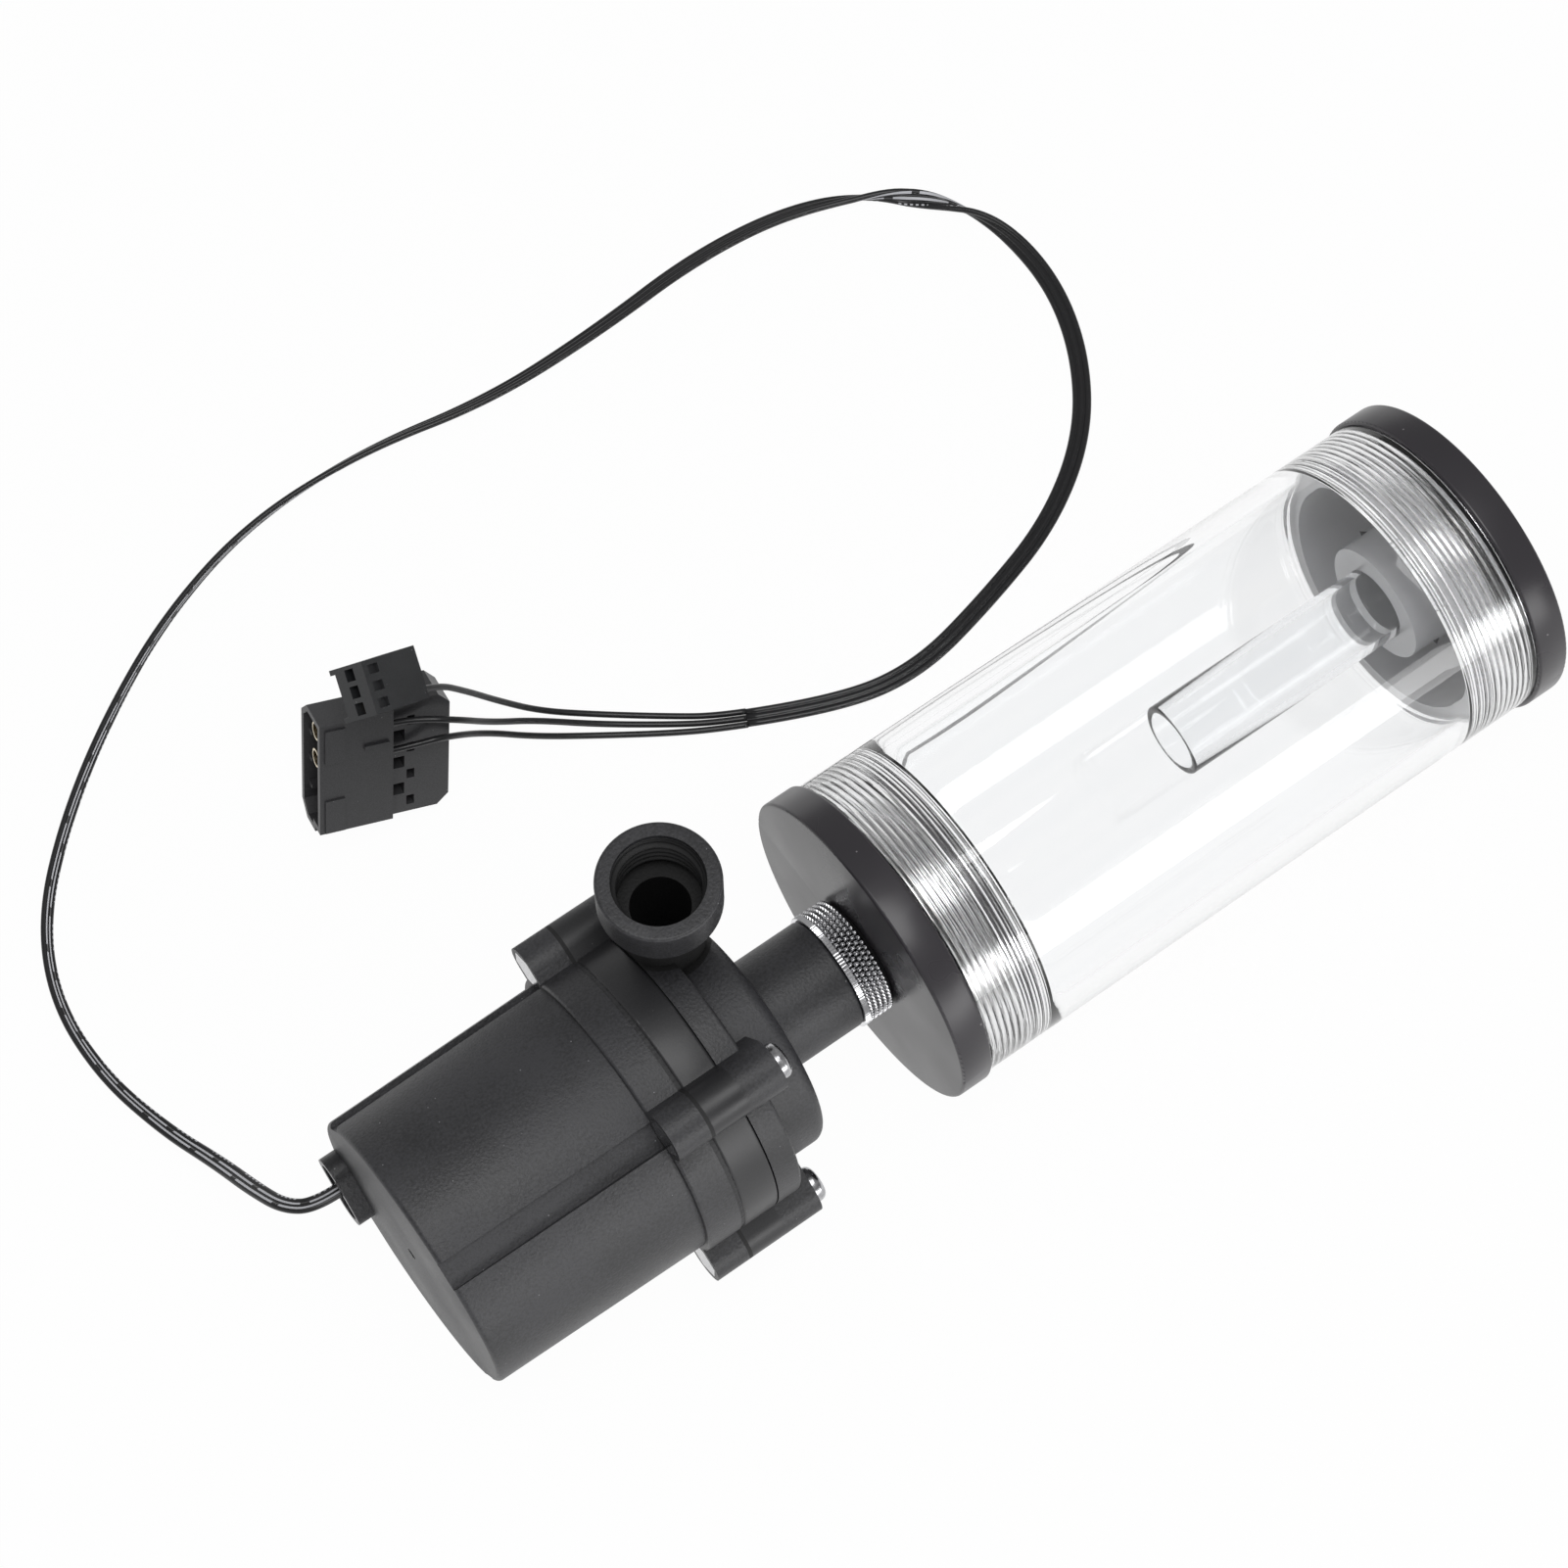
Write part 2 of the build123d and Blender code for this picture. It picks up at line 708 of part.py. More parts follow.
# Inner tube: the clear pipe that leads the returning water away from the end cap
with BuildPart() as inner_tube:
    with BuildSketch(station(drop_seat_x)):
        Circle(drop_tube_radius)
        Circle(drop_tube_radius - drop_tube_wall, mode=Mode.SUBTRACT)
    extrude(amount=-drop_tube_length)
keep(inner_tube.part, "inner_tube")

# Power connector: a four-way plug with a feed-through socket behind it, leaning on its edge


def tilted_frame(origin, heading, dip, roll):
    # Local X runs along the piece and dips at its far end, local Z is its rolled face.
    along = Vector(
        cos(radians(heading)) * cos(radians(dip)),
        sin(radians(heading)) * cos(radians(dip)),
        -sin(radians(dip)),
    )
    side = Vector(-sin(radians(heading)), cos(radians(heading)), 0)
    face = along.cross(side) * cos(radians(roll)) - side * sin(radians(roll))
    return Plane(origin=origin, x_dir=along, z_dir=face)


def cross_section(frame, along):
    # A plane across a connector: first direction over its width, second direction up its face.
    place = frame.from_local_coords(Vector(along, 0, 0))
    return Plane(origin=place, x_dir=frame.y_dir, z_dir=frame.x_dir)


def pin_row(count, pitch):
    return [pitch * (pin - (count - 1) / 2) for pin in range(count)]


shell_width = 21.4
shell_height = 8.0
shell_corner = 1.6
plug_shell_length = 11.5
socket_shell_length = 9.5
socket_shell_height = 6.0
socket_shell_width = 20.4
pin_pitch = 5.08
pin_count = 4
pin_hole_radius = 1.9
pin_hole_depth = 9.0
terminal_radius = 1.5
terminal_wall = 0.3
terminal_length = 8.0
crenel_width = 2.2
crenel_depth = 1.2
rib_width = 0.8
rib_length = 5.0
rib_height = 0.4
connector_heading = -15.1
connector_dip = 14.1
connector_roll = 66.2
level_frame = tilted_frame((0, 0, 0), connector_heading, connector_dip, connector_roll)
plug_drop = level_frame.y_dir.Z * shell_width / 2
socket_drop = level_frame.y_dir.Z * socket_shell_width / 2 - level_frame.x_dir.Z * socket_shell_length
connector_x = -50.4
connector_y = 74.6
connector_z = max(plug_drop, socket_drop)
connector_frame = tilted_frame(
    (connector_x, connector_y, connector_z), connector_heading, connector_dip, connector_roll
)

with BuildPart() as power_plug:
    with BuildSketch(cross_section(connector_frame, -plug_shell_length)):
        with Locations((0, shell_height / 2)):
            Rectangle(shell_width, shell_height)
        with Locations((shell_width / 2, 0), (-shell_width / 2, 0)):
            Rectangle(2 * shell_corner, 2 * shell_corner, rotation=45, mode=Mode.SUBTRACT)
    extrude(amount=plug_shell_length)
    with BuildSketch(cross_section(connector_frame, -plug_shell_length)):
        with Locations(*[(place, shell_height / 2) for place in pin_row(pin_count, pin_pitch)]):
            Circle(pin_hole_radius)
    extrude(amount=pin_hole_depth, mode=Mode.SUBTRACT)
    with BuildSketch(connector_frame.offset(shell_height)):
        with Locations(*[(-rib_length / 2, place) for place in pin_row(2, 2 * pin_pitch)]):
            Rectangle(rib_length, rib_width)
    extrude(amount=rib_height)
keep(power_plug.part, "power_plug")

with BuildPart() as power_socket:
    with BuildSketch(cross_section(connector_frame, 0)):
        with Locations((0, socket_shell_height / 2)):
            Rectangle(socket_shell_width, socket_shell_height)
    extrude(amount=socket_shell_length)
    with BuildSketch(connector_frame.offset(socket_shell_height)):
        with Locations(*[(0, place) for place in pin_row(pin_count, pin_pitch)]):
            Rectangle(2 * crenel_depth, crenel_width)
    extrude(amount=-crenel_depth, mode=Mode.SUBTRACT)
keep(power_socket.part, "power_socket")

with BuildPart() as power_terminals:
    with BuildSketch(cross_section(connector_frame, pin_hole_depth - terminal_length - plug_shell_length)):
        with Locations(*[(place, shell_height / 2) for place in pin_row(pin_count, pin_pitch)[2:]]):
            Circle(terminal_radius)
            Circle(terminal_radius - terminal_wall, mode=Mode.SUBTRACT)
    extrude(amount=terminal_length)
keep(power_terminals.part, "power_terminals")

# Fan connector: a small three-way plug that rests on the power connector's upper edge
fan_heading = 4.0
fan_dip = 36.0
fan_roll = 33.0
fan_x = -48.5
fan_y = 72.2
fan_z = 31.7
fan_length = 11.0
fan_width = 8.0
fan_height = 6.0
fan_slot_width = 1.4
fan_slot_length = 2.0
fan_slot_start = 2.0
fan_slot_depth = 0.8
fan_ridge_height = 1.0
fan_ridge_width = 0.8
fan_pitch = 2.54
fan_count = 3
fan_hole = 1.8
fan_hole_depth = 6.0
fan_terminal_length = 4.0
fan_frame = tilted_frame((fan_x, fan_y, fan_z), fan_heading, fan_dip, fan_roll)
fan_front = -fan_length / 2

with BuildPart() as fan_plug:
    with BuildSketch(cross_section(fan_frame, fan_front)):
        Rectangle(fan_width, fan_height)
        with Locations(*[(place, -fan_height / 2) for place in pin_row(2, fan_width - fan_ridge_width)]):
            Rectangle(fan_ridge_width, 2 * fan_ridge_height)
    extrude(amount=fan_length)
    with BuildSketch(fan_frame.offset(fan_height / 2)):
        with Locations(*[(fan_front + fan_slot_start, place) for place in pin_row(fan_count, fan_pitch)]):
            Rectangle(fan_slot_length, fan_slot_width)
    extrude(amount=-fan_slot_depth, mode=Mode.SUBTRACT)
    with BuildSketch(cross_section(fan_frame, fan_front)):
        with Locations(*[(place, 0) for place in pin_row(fan_count, fan_pitch)]):
            Rectangle(fan_hole, fan_hole)
    extrude(amount=fan_hole_depth, mode=Mode.SUBTRACT)
keep(fan_plug.part, "fan_plug")

with BuildPart() as fan_terminal:
    with BuildSketch(cross_section(fan_frame, fan_front + fan_hole_depth - fan_terminal_length)):
        with Locations((pin_row(fan_count, fan_pitch)[0], 0)):
            Rectangle(fan_hole - 2 * slip, fan_hole - 2 * slip)
    extrude(amount=fan_terminal_length)
keep(fan_terminal.part, "fan_terminal")

# Cable: three wires side by side from the grommet, round in a loop, to where they part
exit_x = lip_x + grommet_recess
exit_y = slot_y + 0.3
exit_z = axis_z + slot_z + 0.2
cable_points = [
    (exit_x, exit_y, exit_z),
    (exit_x - 4.4, exit_y, exit_z),
    (-101.9, 19.2, 15.7),
    (-103.6, 25.2, 11.6),
    (-105.2, 33.6, 6.0),
    (-108.4, 44.0, 1.5),
    (-111.4, 56.6, 1.3),
    (-111.0, 70.2, 1.3),
    (-105.6, 82.6, 1.3),
    (-95.0, 93.8, 1.3),
    (-81.0, 104.6, 1.3),
    (-64.0, 114.4, 1.3),
    (-44.6, 120.6, 1.3),
    (-23.0, 120.9, 1.3),
    (-2.0, 116.8, 1.3),
    (18.6, 117.0, 1.3),
    (40.0, 119.0, 1.3),
    (58.4, 116.8, 1.3),
    (73.0, 109.4, 1.3),
    (82.0, 97.6, 1.3),
    (83.2, 83.4, 1.3),
    (79.0, 69.6, 1.3),
    (70.2, 57.0, 1.3),
    (56.6, 47.8, 1.3),
    (40.6, 42.8, 1.3),
    (25.0, 39.4, 1.3),
    (11.4, 42.0, 1.3),
    (-1.0, 48.2, 1.3),
]


def corner_radii(points):
    # Each arc takes 0.45 of the shorter run beside its corner.
    radii = []
    for before, corner, after in zip(points, points[1:], points[2:]):
        arriving = Vector(*corner) - Vector(*before)
        leaving = Vector(*after) - Vector(*corner)
        half_turn = radians(arriving.get_angle(leaving) / 2)
        radii.append(0.45 * min(arriving.length, leaving.length) / tan(half_turn))
    return radii


def cord_tube(points, radius, label):
    radii = corner_radii(points)
    with BuildPart() as cord:
        with BuildLine() as route:
            FilletPolyline(*points, radius=radii)
        with BuildSketch(Plane(origin=points[0], z_dir=Vector(*points[1]) - Vector(*points[0]))):
            Circle(radius)
        sweep()
    length = sum(edge.length for edge in route.edges())
    expected = length * pi * radius * radius
    print(label, "length", round(length, 1), "radii", [round(value, 1) for value in radii])
    print(label, "volume", round(cord.part.volume, 2), "section times length", round(expected, 2))
    keep(cord.part, label)


cord_tube(cable_points, cable_radius, "power_cable")

# Leads: the three wires where they part, two to the power plug and one to the fan plug
split = Vector(*cable_points[-1])
split_out = (split - Vector(*cable_points[-2])).normalized()
split_side = split_out.cross(Vector(0, 0, 1))
lead_level = (shell_height + socket_shell_height) / 2
lead_ends = {
    "power_lead_lower": connector_frame.from_local_coords(Vector(0, pin_pitch / 2, lead_level)),
    "power_lead_upper": connector_frame.from_local_coords(Vector(0, 1.5 * pin_pitch, lead_level)),
    "fan_lead": fan_frame.from_local_coords(Vector(fan_length / 2, -fan_pitch, 0)),
}
lead_middles = {
    "power_lead_lower": [(-12.0, 53.0, 1.3), (-20.9, 58.9, 1.4), (-29.4, 63.4, 4.0), (-36.2, 66.4, 9.0)],
    "power_lead_upper": [(-11.2, 54.2, 1.3), (-20.1, 60.2, 2.2), (-28.6, 64.6, 6.8), (-35.0, 65.9, 12.0)],
    "fan_lead": [
        (-10.5, 55.4, 1.3), (-19.4, 61.5, 2.6), (-26.8, 66.0, 5.4), (-32.2, 68.6, 11.4), (-36.2, 69.8, 17.6),
    ],
}
lead_arrivals = {
    "power_lead_lower": [
        connector_frame.from_local_coords(Vector(8.0, pin_pitch / 2 + 1.5, lead_level + 1.4)),
        connector_frame.from_local_coords(Vector(3.0, pin_pitch / 2, lead_level)),
    ],
    "power_lead_upper": [
        connector_frame.from_local_coords(Vector(9.0, 1.5 * pin_pitch, lead_level + 2.2)),
        connector_frame.from_local_coords(Vector(3.0, 1.5 * pin_pitch, lead_level)),
    ],
    "fan_lead": [fan_frame.from_local_coords(Vector(fan_length / 2 + 5.0, -fan_pitch, 0))],
}
lead_straight = 5.0
for order, name in enumerate(lead_ends):
    start = split + split_side * lead_pitch * (order - 1)
    points = [
        tuple(start),
        tuple(start + split_out * lead_straight),
        *lead_middles[name],
        *[tuple(point) for point in lead_arrivals[name]],
        tuple(lead_ends[name]),
    ]
    print(name, [tuple(round(value, 2) for value in point) for point in points])
    cord_tube(points, lead_radius, name)
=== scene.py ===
import math

import bpy
import numpy as np
from mathutils import Matrix


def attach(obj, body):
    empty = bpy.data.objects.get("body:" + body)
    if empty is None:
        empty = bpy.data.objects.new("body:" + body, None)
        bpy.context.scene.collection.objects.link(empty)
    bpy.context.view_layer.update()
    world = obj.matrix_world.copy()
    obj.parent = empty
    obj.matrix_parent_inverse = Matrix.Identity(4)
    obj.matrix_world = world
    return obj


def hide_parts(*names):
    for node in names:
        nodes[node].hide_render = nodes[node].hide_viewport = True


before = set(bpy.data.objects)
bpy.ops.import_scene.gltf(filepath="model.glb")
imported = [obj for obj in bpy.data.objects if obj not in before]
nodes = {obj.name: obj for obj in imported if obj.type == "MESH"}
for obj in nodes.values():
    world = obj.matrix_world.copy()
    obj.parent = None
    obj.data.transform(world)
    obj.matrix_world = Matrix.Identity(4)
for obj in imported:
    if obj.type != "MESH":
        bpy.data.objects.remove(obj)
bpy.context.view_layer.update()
mm = 0.001
print("frame loaded:", len(nodes), "nodes")


def hexColour(code):
    # sRGB hex to linear: value / 12.92 up to 0.04045, else ((value + 0.055) / 1.055) to the power 2.4
    values = [int(code[i:i + 2], 16) / 255 for i in (1, 3, 5)]
    return [v / 12.92 if v <= 0.04045 else ((v + 0.055) / 1.055) ** 2.4 for v in values] + [1.0]


def addNode(tree, kind, inputs=None, **settings):
    # Adds one shader node. A value in inputs is a socket to link from or a plain value to set
    node = tree.nodes.new("ShaderNode" + kind)
    for name, value in settings.items():
        setattr(node, name, value)
    for name, value in (inputs or {}).items():
        if isinstance(value, bpy.types.NodeSocket):
            tree.links.new(value, node.inputs[name])
        else:
            node.inputs[name].default_value = value
    return node


def makeMaterial(name, build, **values):
    # A principled surface. build(tree) gives the sockets that colour, roughness and bump are linked from
    material = bpy.data.materials.new(name)
    material.use_nodes = True
    tree = material.node_tree
    tree.nodes.clear()
    links = build(tree) if build else {}
    surface = addNode(tree, "BsdfPrincipled", {**values, **links})
    addNode(tree, "OutputMaterial", {"Surface": surface.outputs[0]})
    return material


def gridFaces(rows, columns, closeRows=False, closeColumns=True):
    # Quads between neighbouring points of a grid that is numbered row by row
    r = np.arange(rows if closeRows else rows - 1)
    c = np.arange(columns if closeColumns else columns - 1)
    r, c = [a.ravel() for a in np.meshgrid(r, c, indexing="ij")]
    r2, c2 = (r + 1) % rows, (c + 1) % columns
    return np.stack([r * columns + c, r * columns + c2, r2 * columns + c2, r2 * columns + c], 1)


def makePiece(name, points, faces, material, body="root", uv=None, smooth=True):
    # A mesh object at the origin from an array of points, in metres, and an array of quads
    mesh = bpy.data.meshes.new(name)
    points, faces = np.asarray(points, float).reshape(-1, 3), np.asarray(faces)
    sides = faces.shape[1]
    mesh.vertices.add(len(points))
    mesh.vertices.foreach_set("co", points.ravel())
    mesh.loops.add(faces.size)
    mesh.loops.foreach_set("vertex_index", faces.ravel().astype(np.int32))
    mesh.polygons.add(len(faces))
    mesh.polygons.foreach_set("loop_start", np.arange(0, faces.size, sides, dtype=np.int32))
    mesh.polygons.foreach_set("use_smooth", np.full(len(faces), smooth))
    mesh.update(calc_edges=True)
    mesh.validate()
    if uv is not None:
        layer = mesh.uv_layers.new(name="along")
        layer.data.foreach_set("uv", uv[faces.ravel()].ravel())
    mesh.materials.append(material)
    piece = bpy.data.objects.new(name, mesh)
    bpy.context.scene.collection.objects.link(piece)
    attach(piece, body)
    return piece


def splitEdges(piece, degrees):
    # Edges sharper than the angle stay sharp under smooth shading
    split = piece.modifiers.new("edges", "EDGE_SPLIT")
    split.split_angle = math.radians(degrees)


def ringPoints(x, radius, angle):
    # Points on rings round the pump's axis: x along it, radius from it, angle from +Y towards +Z
    return np.stack([x, radius * np.cos(angle), radius * np.sin(angle) + axisHeight], -1)


axisHeight = 25 * mm


camera = {
    "place": (-0.15207, -0.17678, 0.59722),
    "right": (0.81194, -0.58371, -0.00503),
    "up": (0.53669, 0.74309, 0.39972),
    "back": (-0.22959, -0.32725, 0.91662),
    "lens": 98.63,
    "sensor": 36.0,
}
lens = bpy.data.cameras.new("camera")
lens.lens, lens.sensor_width = camera["lens"], camera["sensor"]
lens.clip_start, lens.clip_end = 0.01, 50
eye = bpy.data.objects.new("camera", lens)
turn = Matrix((camera["right"], camera["up"], camera["back"])).transposed().to_4x4()
eye.matrix_world = Matrix.Translation(camera["place"]) @ turn
bpy.context.scene.collection.objects.link(eye)
bpy.context.scene.camera = eye
print("camera done")


cable = {
    "strandRadius": 0.5 * mm,  # each insulated wire
    "strandPitch": 1.0 * mm,  # the wires are joined side by side
    "bridge": 0.16 * mm,  # half the thickness of the web between them
    # share of the length, and the ribbon's turn there in degrees from flat on the floor
    "turns": [
        (0.0, -143), (0.05, -150), (0.12, -128), (0.18, -108), (0.26, -97), (0.38, -72), (0.46, -44),
        (0.58, -22), (0.641, -25), (0.661, -80), (0.681, -180), (0.702, -275), (0.73, -338), (0.77, -345),
        (0.82, -352), (0.88, -360), (1.0, -360),
    ],
    "route": [
        (-94.05, 16.3, 17.2), (-98.45, 16.3, 17.2), (-101.9, 19.2, 15.7), (-103.6, 25.2, 11.6),
        (-105.2, 33.6, 6.0), (-108.4, 44.0, 1.5), (-111.4, 56.6, 1.3), (-111.0, 70.2, 1.3),
        (-105.6, 82.6, 1.3), (-95.0, 93.8, 1.3), (-81.0, 104.6, 1.3), (-64.0, 114.4, 1.3),
        (-44.6, 120.6, 1.3), (-23.0, 120.9, 1.3), (-2.0, 116.8, 1.3), (18.6, 117.0, 1.3),
        (40.0, 119.0, 1.3), (58.4, 116.8, 1.3), (73.0, 109.4, 1.3), (82.0, 97.6, 1.3), (83.2, 83.4, 1.3),
        (79.0, 69.6, 1.3), (70.2, 57.0, 1.3), (56.6, 47.8, 1.3), (40.6, 42.8, 1.3), (25.0, 39.4, 1.3),
        (11.4, 42.0, 1.3), (-1.0, 48.2, 1.3),
    ],
}
leads = {
    "radius": 0.5 * mm,
    "powerLeadLower": [
        (-1.5, 47.2, 1.3), (-5.97, 49.43, 1.3), (-12.0, 53.0, 1.3), (-20.9, 58.9, 1.4), (-29.4, 63.4, 4.0),
        (-36.2, 66.4, 9.0), (-42.82, 66.28, 16.29), (-47.78, 68.32, 15.63), (-50.59, 69.08, 16.36),
    ],
    "powerLeadUpper": [
        (-1.0, 48.2, 1.3), (-5.47, 50.44, 1.3), (-11.2, 54.2, 1.3), (-20.1, 60.2, 2.2), (-28.6, 64.6, 6.8),
        (-35.0, 65.9, 12.0), (-40.85, 66.49, 19.54), (-46.15, 70.01, 20.14), (-48.96, 70.76, 20.87),
    ],
    "fanLead": [
        (-0.5, 49.2, 1.3), (-4.97, 51.44, 1.3), (-10.5, 55.4, 1.3), (-19.4, 61.5, 2.6), (-26.8, 66.0, 5.4),
        (-32.2, 68.6, 11.4), (-36.2, 69.8, 17.6), (-40.69, 70.61, 24.41), (-44.72, 70.33, 27.35),
    ],
}


def splinePoints(name, route):
    # The smooth line of a route: a second-degree NURBS spline that has the route's points as control points
    curve = bpy.data.curves.new(name, "CURVE")
    curve.dimensions = "3D"
    spline = curve.splines.new("NURBS")
    spline.points.add(len(route) - 1)
    spline.points.foreach_set("co", np.c_[np.array(route) * mm, np.ones(len(route))].ravel())
    spline.order_u = 3
    spline.use_endpoint_u = True
    spline.resolution_u = 14
    holder = bpy.data.objects.new(name, curve)
    bpy.context.scene.collection.objects.link(holder)
    mesh = bpy.data.meshes.new_from_object(holder)
    line = np.empty(len(mesh.vertices) * 3)
    mesh.vertices.foreach_get("co", line)
    bpy.data.objects.remove(holder)
    bpy.data.curves.remove(curve)
    bpy.data.meshes.remove(mesh)
    return line.reshape(-1, 3)


def alongLine(line):
    # Distance along the line at each point, from the sum of the steps
    return np.r_[0, np.cumsum(np.linalg.norm(np.diff(line, axis=0), axis=1))]


def crossFrames(line, turn):
    # Side and top directions of a section: side = up x tangent, then both turned about the tangent
    tangent = np.gradient(line, axis=0)
    tangent /= np.linalg.norm(tangent, axis=1)[:, None]
    side = np.cross([0, 0, 1.0], tangent)
    side /= np.linalg.norm(side, axis=1)[:, None]
    top = np.cross(tangent, side)
    c, s = np.cos(turn)[:, None], np.sin(turn)[:, None]
    return side * c + top * s, top * c - side * s


def sweep(line, side, top, outline):
    # Carries a closed outline along the line: point = line + u side + v top. A centre point closes each end
    ring = line[:, None] + side[:, None] * outline[None, :, :1] + top[:, None] * outline[None, :, 1:]
    rows, columns = len(line), len(outline)
    points = ring.reshape(-1, 3)
    faces = gridFaces(rows, columns)[:, ::-1]
    first, last = rows * columns, rows * columns + 1
    points = np.vstack([points, line[0], line[-1]])
    c = np.arange(0, columns, 2)
    start = np.stack([np.full_like(c, first), c, (c + 1) % columns, (c + 2) % columns], 1)
    end = np.stack([np.full_like(c, last), c + (rows - 1) * columns], 1)
    end = np.c_[end[:, 0], (c + 2) % columns + (rows - 1) * columns, c + 1 + (rows - 1) * columns, end[:, 1]]
    length = np.repeat(alongLine(line), columns)
    across = np.tile(outline[:, 0] + np.where(outline[:, 1] < 0, 10 * mm, 0), rows)
    uv = np.vstack([np.c_[length, across], [[0, 0], [length[-1], 0]]]) / mm
    return points, np.vstack([faces, start, end]), uv


def ribbonOutline(radius, pitch, bridge, steps):
    # Three circles in a row, joined by thin webs: the half width is sqrt(r^2 - x^2) round the nearest centre,
    # and never less than the web
    t = np.linspace(0, 2 * np.pi, steps, endpoint=False)
    x = -np.cos(t) * (pitch + radius)
    nearest = np.clip(np.round(x / pitch), -1, 1) * pitch
    height = np.sqrt(np.clip(radius ** 2 - (x - nearest) ** 2, 0, None))
    height = np.where(np.abs(x) < pitch, np.maximum(height, bridge), height)
    return np.c_[x, np.where(t < np.pi, height, -height)]


def wireSheath(tree):
    # PVC insulation: satin black. On the ribbon's printed side, which has 10 mm added to its place
    # across, two wires carry long white bars and the third a row of fine white ticks
    place = addNode(tree, "UVMap", uv_map="along").outputs[0]
    parts = addNode(tree, "SeparateXYZ", {"Vector": place})
    along, across = parts.outputs[0], parts.outputs[1]

    def stripe(middle, halfWidth, period, share, shift):
        # 1 where the place across is near the middle and the place along is in the printed share of the
        # period
        off = addNode(tree, "Math", {0: across, 1: middle}, operation="SUBTRACT")
        near = addNode(tree, "Math", {0: off.outputs[0]}, operation="ABSOLUTE")
        wide = addNode(tree, "Math", {0: near.outputs[0], 1: halfWidth}, operation="LESS_THAN")
        moved = addNode(tree, "Math", {0: along, 1: shift}, operation="ADD")
        turns = addNode(tree, "Math", {0: moved.outputs[0], 1: 1 / period}, operation="MULTIPLY")
        part = addNode(tree, "Math", {0: turns.outputs[0]}, operation="FRACT")
        long = addNode(tree, "Math", {0: part.outputs[0], 1: share}, operation="LESS_THAN")
        both = addNode(tree, "Math", {0: wide.outputs[0], 1: long.outputs[0]}, operation="MULTIPLY")
        return both.outputs[0]

    barOne = stripe(9.0, 0.24, 10.5, 0.88, 0.0)
    barTwo = stripe(10.0, 0.22, 10.5, 0.86, 4.2)
    ticks = stripe(11.0, 0.13, 0.95, 0.5, 0.0)
    words = stripe(11.0, 0.2, 8.2, 0.62, 1.0)
    fine = addNode(tree, "Math", {0: ticks, 1: words}, operation="MULTIPLY").outputs[0]
    ink = addNode(tree, "Math", {0: barOne, 1: barTwo}, operation="MAXIMUM").outputs[0]
    ink = addNode(tree, "Math", {0: ink, 1: fine}, operation="MAXIMUM").outputs[0]
    grain = addNode(tree, "TexNoise", {"Vector": place, "Scale": 2.2, "Detail": 3.0})
    tint = addNode(tree, "MixRGB", {0: grain.outputs[0], 1: hexColour("#131315"), 2: hexColour("#1d1d1f")})
    colour = addNode(tree, "MixRGB", {0: ink, 1: tint.outputs[0], 2: hexColour("#c6c7cc")})
    rough = addNode(tree, "MapRange", {0: grain.outputs[0], 3: 0.26, 4: 0.42})
    return {"Base Color": colour.outputs[0], "Roughness": rough.outputs[0]}


sheath = makeMaterial("pvcSheath", wireSheath, IOR=1.53)

cableLine = splinePoints("cableLine", cable["route"])
share = alongLine(cableLine) / alongLine(cableLine)[-1]
turn = np.radians(np.interp(share, *np.array(cable["turns"]).T))
kernel = np.hanning(19) / np.hanning(19).sum()
turn = np.convolve(np.pad(turn, 9, mode="edge"), kernel, mode="valid")  # evens the turn out along the cable
lift = cable["strandRadius"] + cable["strandPitch"] * np.abs(np.sin(turn)) + 0.02 * mm
cableLine[:, 2] = np.maximum(cableLine[:, 2], lift)
outline = ribbonOutline(cable["strandRadius"], cable["strandPitch"], cable["bridge"], 60)
cablePoints, cableFaces, cableUv = sweep(cableLine, *crossFrames(cableLine, turn), outline)
ribbonCable = makePiece("ribbonCable", cablePoints, cableFaces, sheath, uv=cableUv)
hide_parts("power_cable")
cableLength = float(alongLine(cableLine)[-1])
print("ribbon cable:", round(cableLength, 4), "m")

for name, node in (("powerLeadLower", "power_lead_lower"), ("powerLeadUpper", "power_lead_upper"),
                   ("fanLead", "fan_lead")):
    line = splinePoints(name, leads[name])
    t = np.linspace(0, 2 * np.pi, 20, endpoint=False)
    circle = np.c_[np.cos(t), -np.sin(t)] * leads["radius"]
    points, faces, uv = sweep(line, *crossFrames(line, np.zeros(len(line))), circle)
    makePiece(name, points, faces, sheath, uv=uv)
    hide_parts(node)
    print(name, round(float(alongLine(line)[-1]), 4), "m")

print("cord surfaces done")


def objectPlace(tree, scale=(1, 1, 1), move=(0, 0, 0)):
    # The point on the object in metres, scaled and then moved
    place = addNode(tree, "TexCoord").outputs["Object"]
    return addNode(tree, "Mapping", {"Vector": place, "Location": move, "Scale": scale}).outputs[0]


def grainBump(tree, place, grainSize, height, detail=3.0):
    # A grain of the given size in metres as noise, and a bump of that height
    grain = addNode(tree, "TexNoise", {
        "Vector": place, "Scale": 1 / grainSize, "Detail": detail, "Roughness": 0.55})
    return grain, addNode(tree, "Bump", {"Height": grain.outputs[0], "Distance": height, "Strength": 1.0})


def paintedShadingFinish(tree, colour, rough, mark, tone, roughChange):
    # Painted light and shade: inside the marked part the colour is the painted tone, and the roughness moves
    # by the change
    inside = mark(tree)
    colour = addNode(tree, "MixRGB", {0: inside, 1: colour.outputs[0], 2: hexColour(tone)})
    change = addNode(tree, "Math", {0: inside, 1: roughChange}, operation="MULTIPLY")
    return colour, addNode(tree, "Math", {0: rough.outputs[0], 1: change.outputs[0]}, operation="ADD")


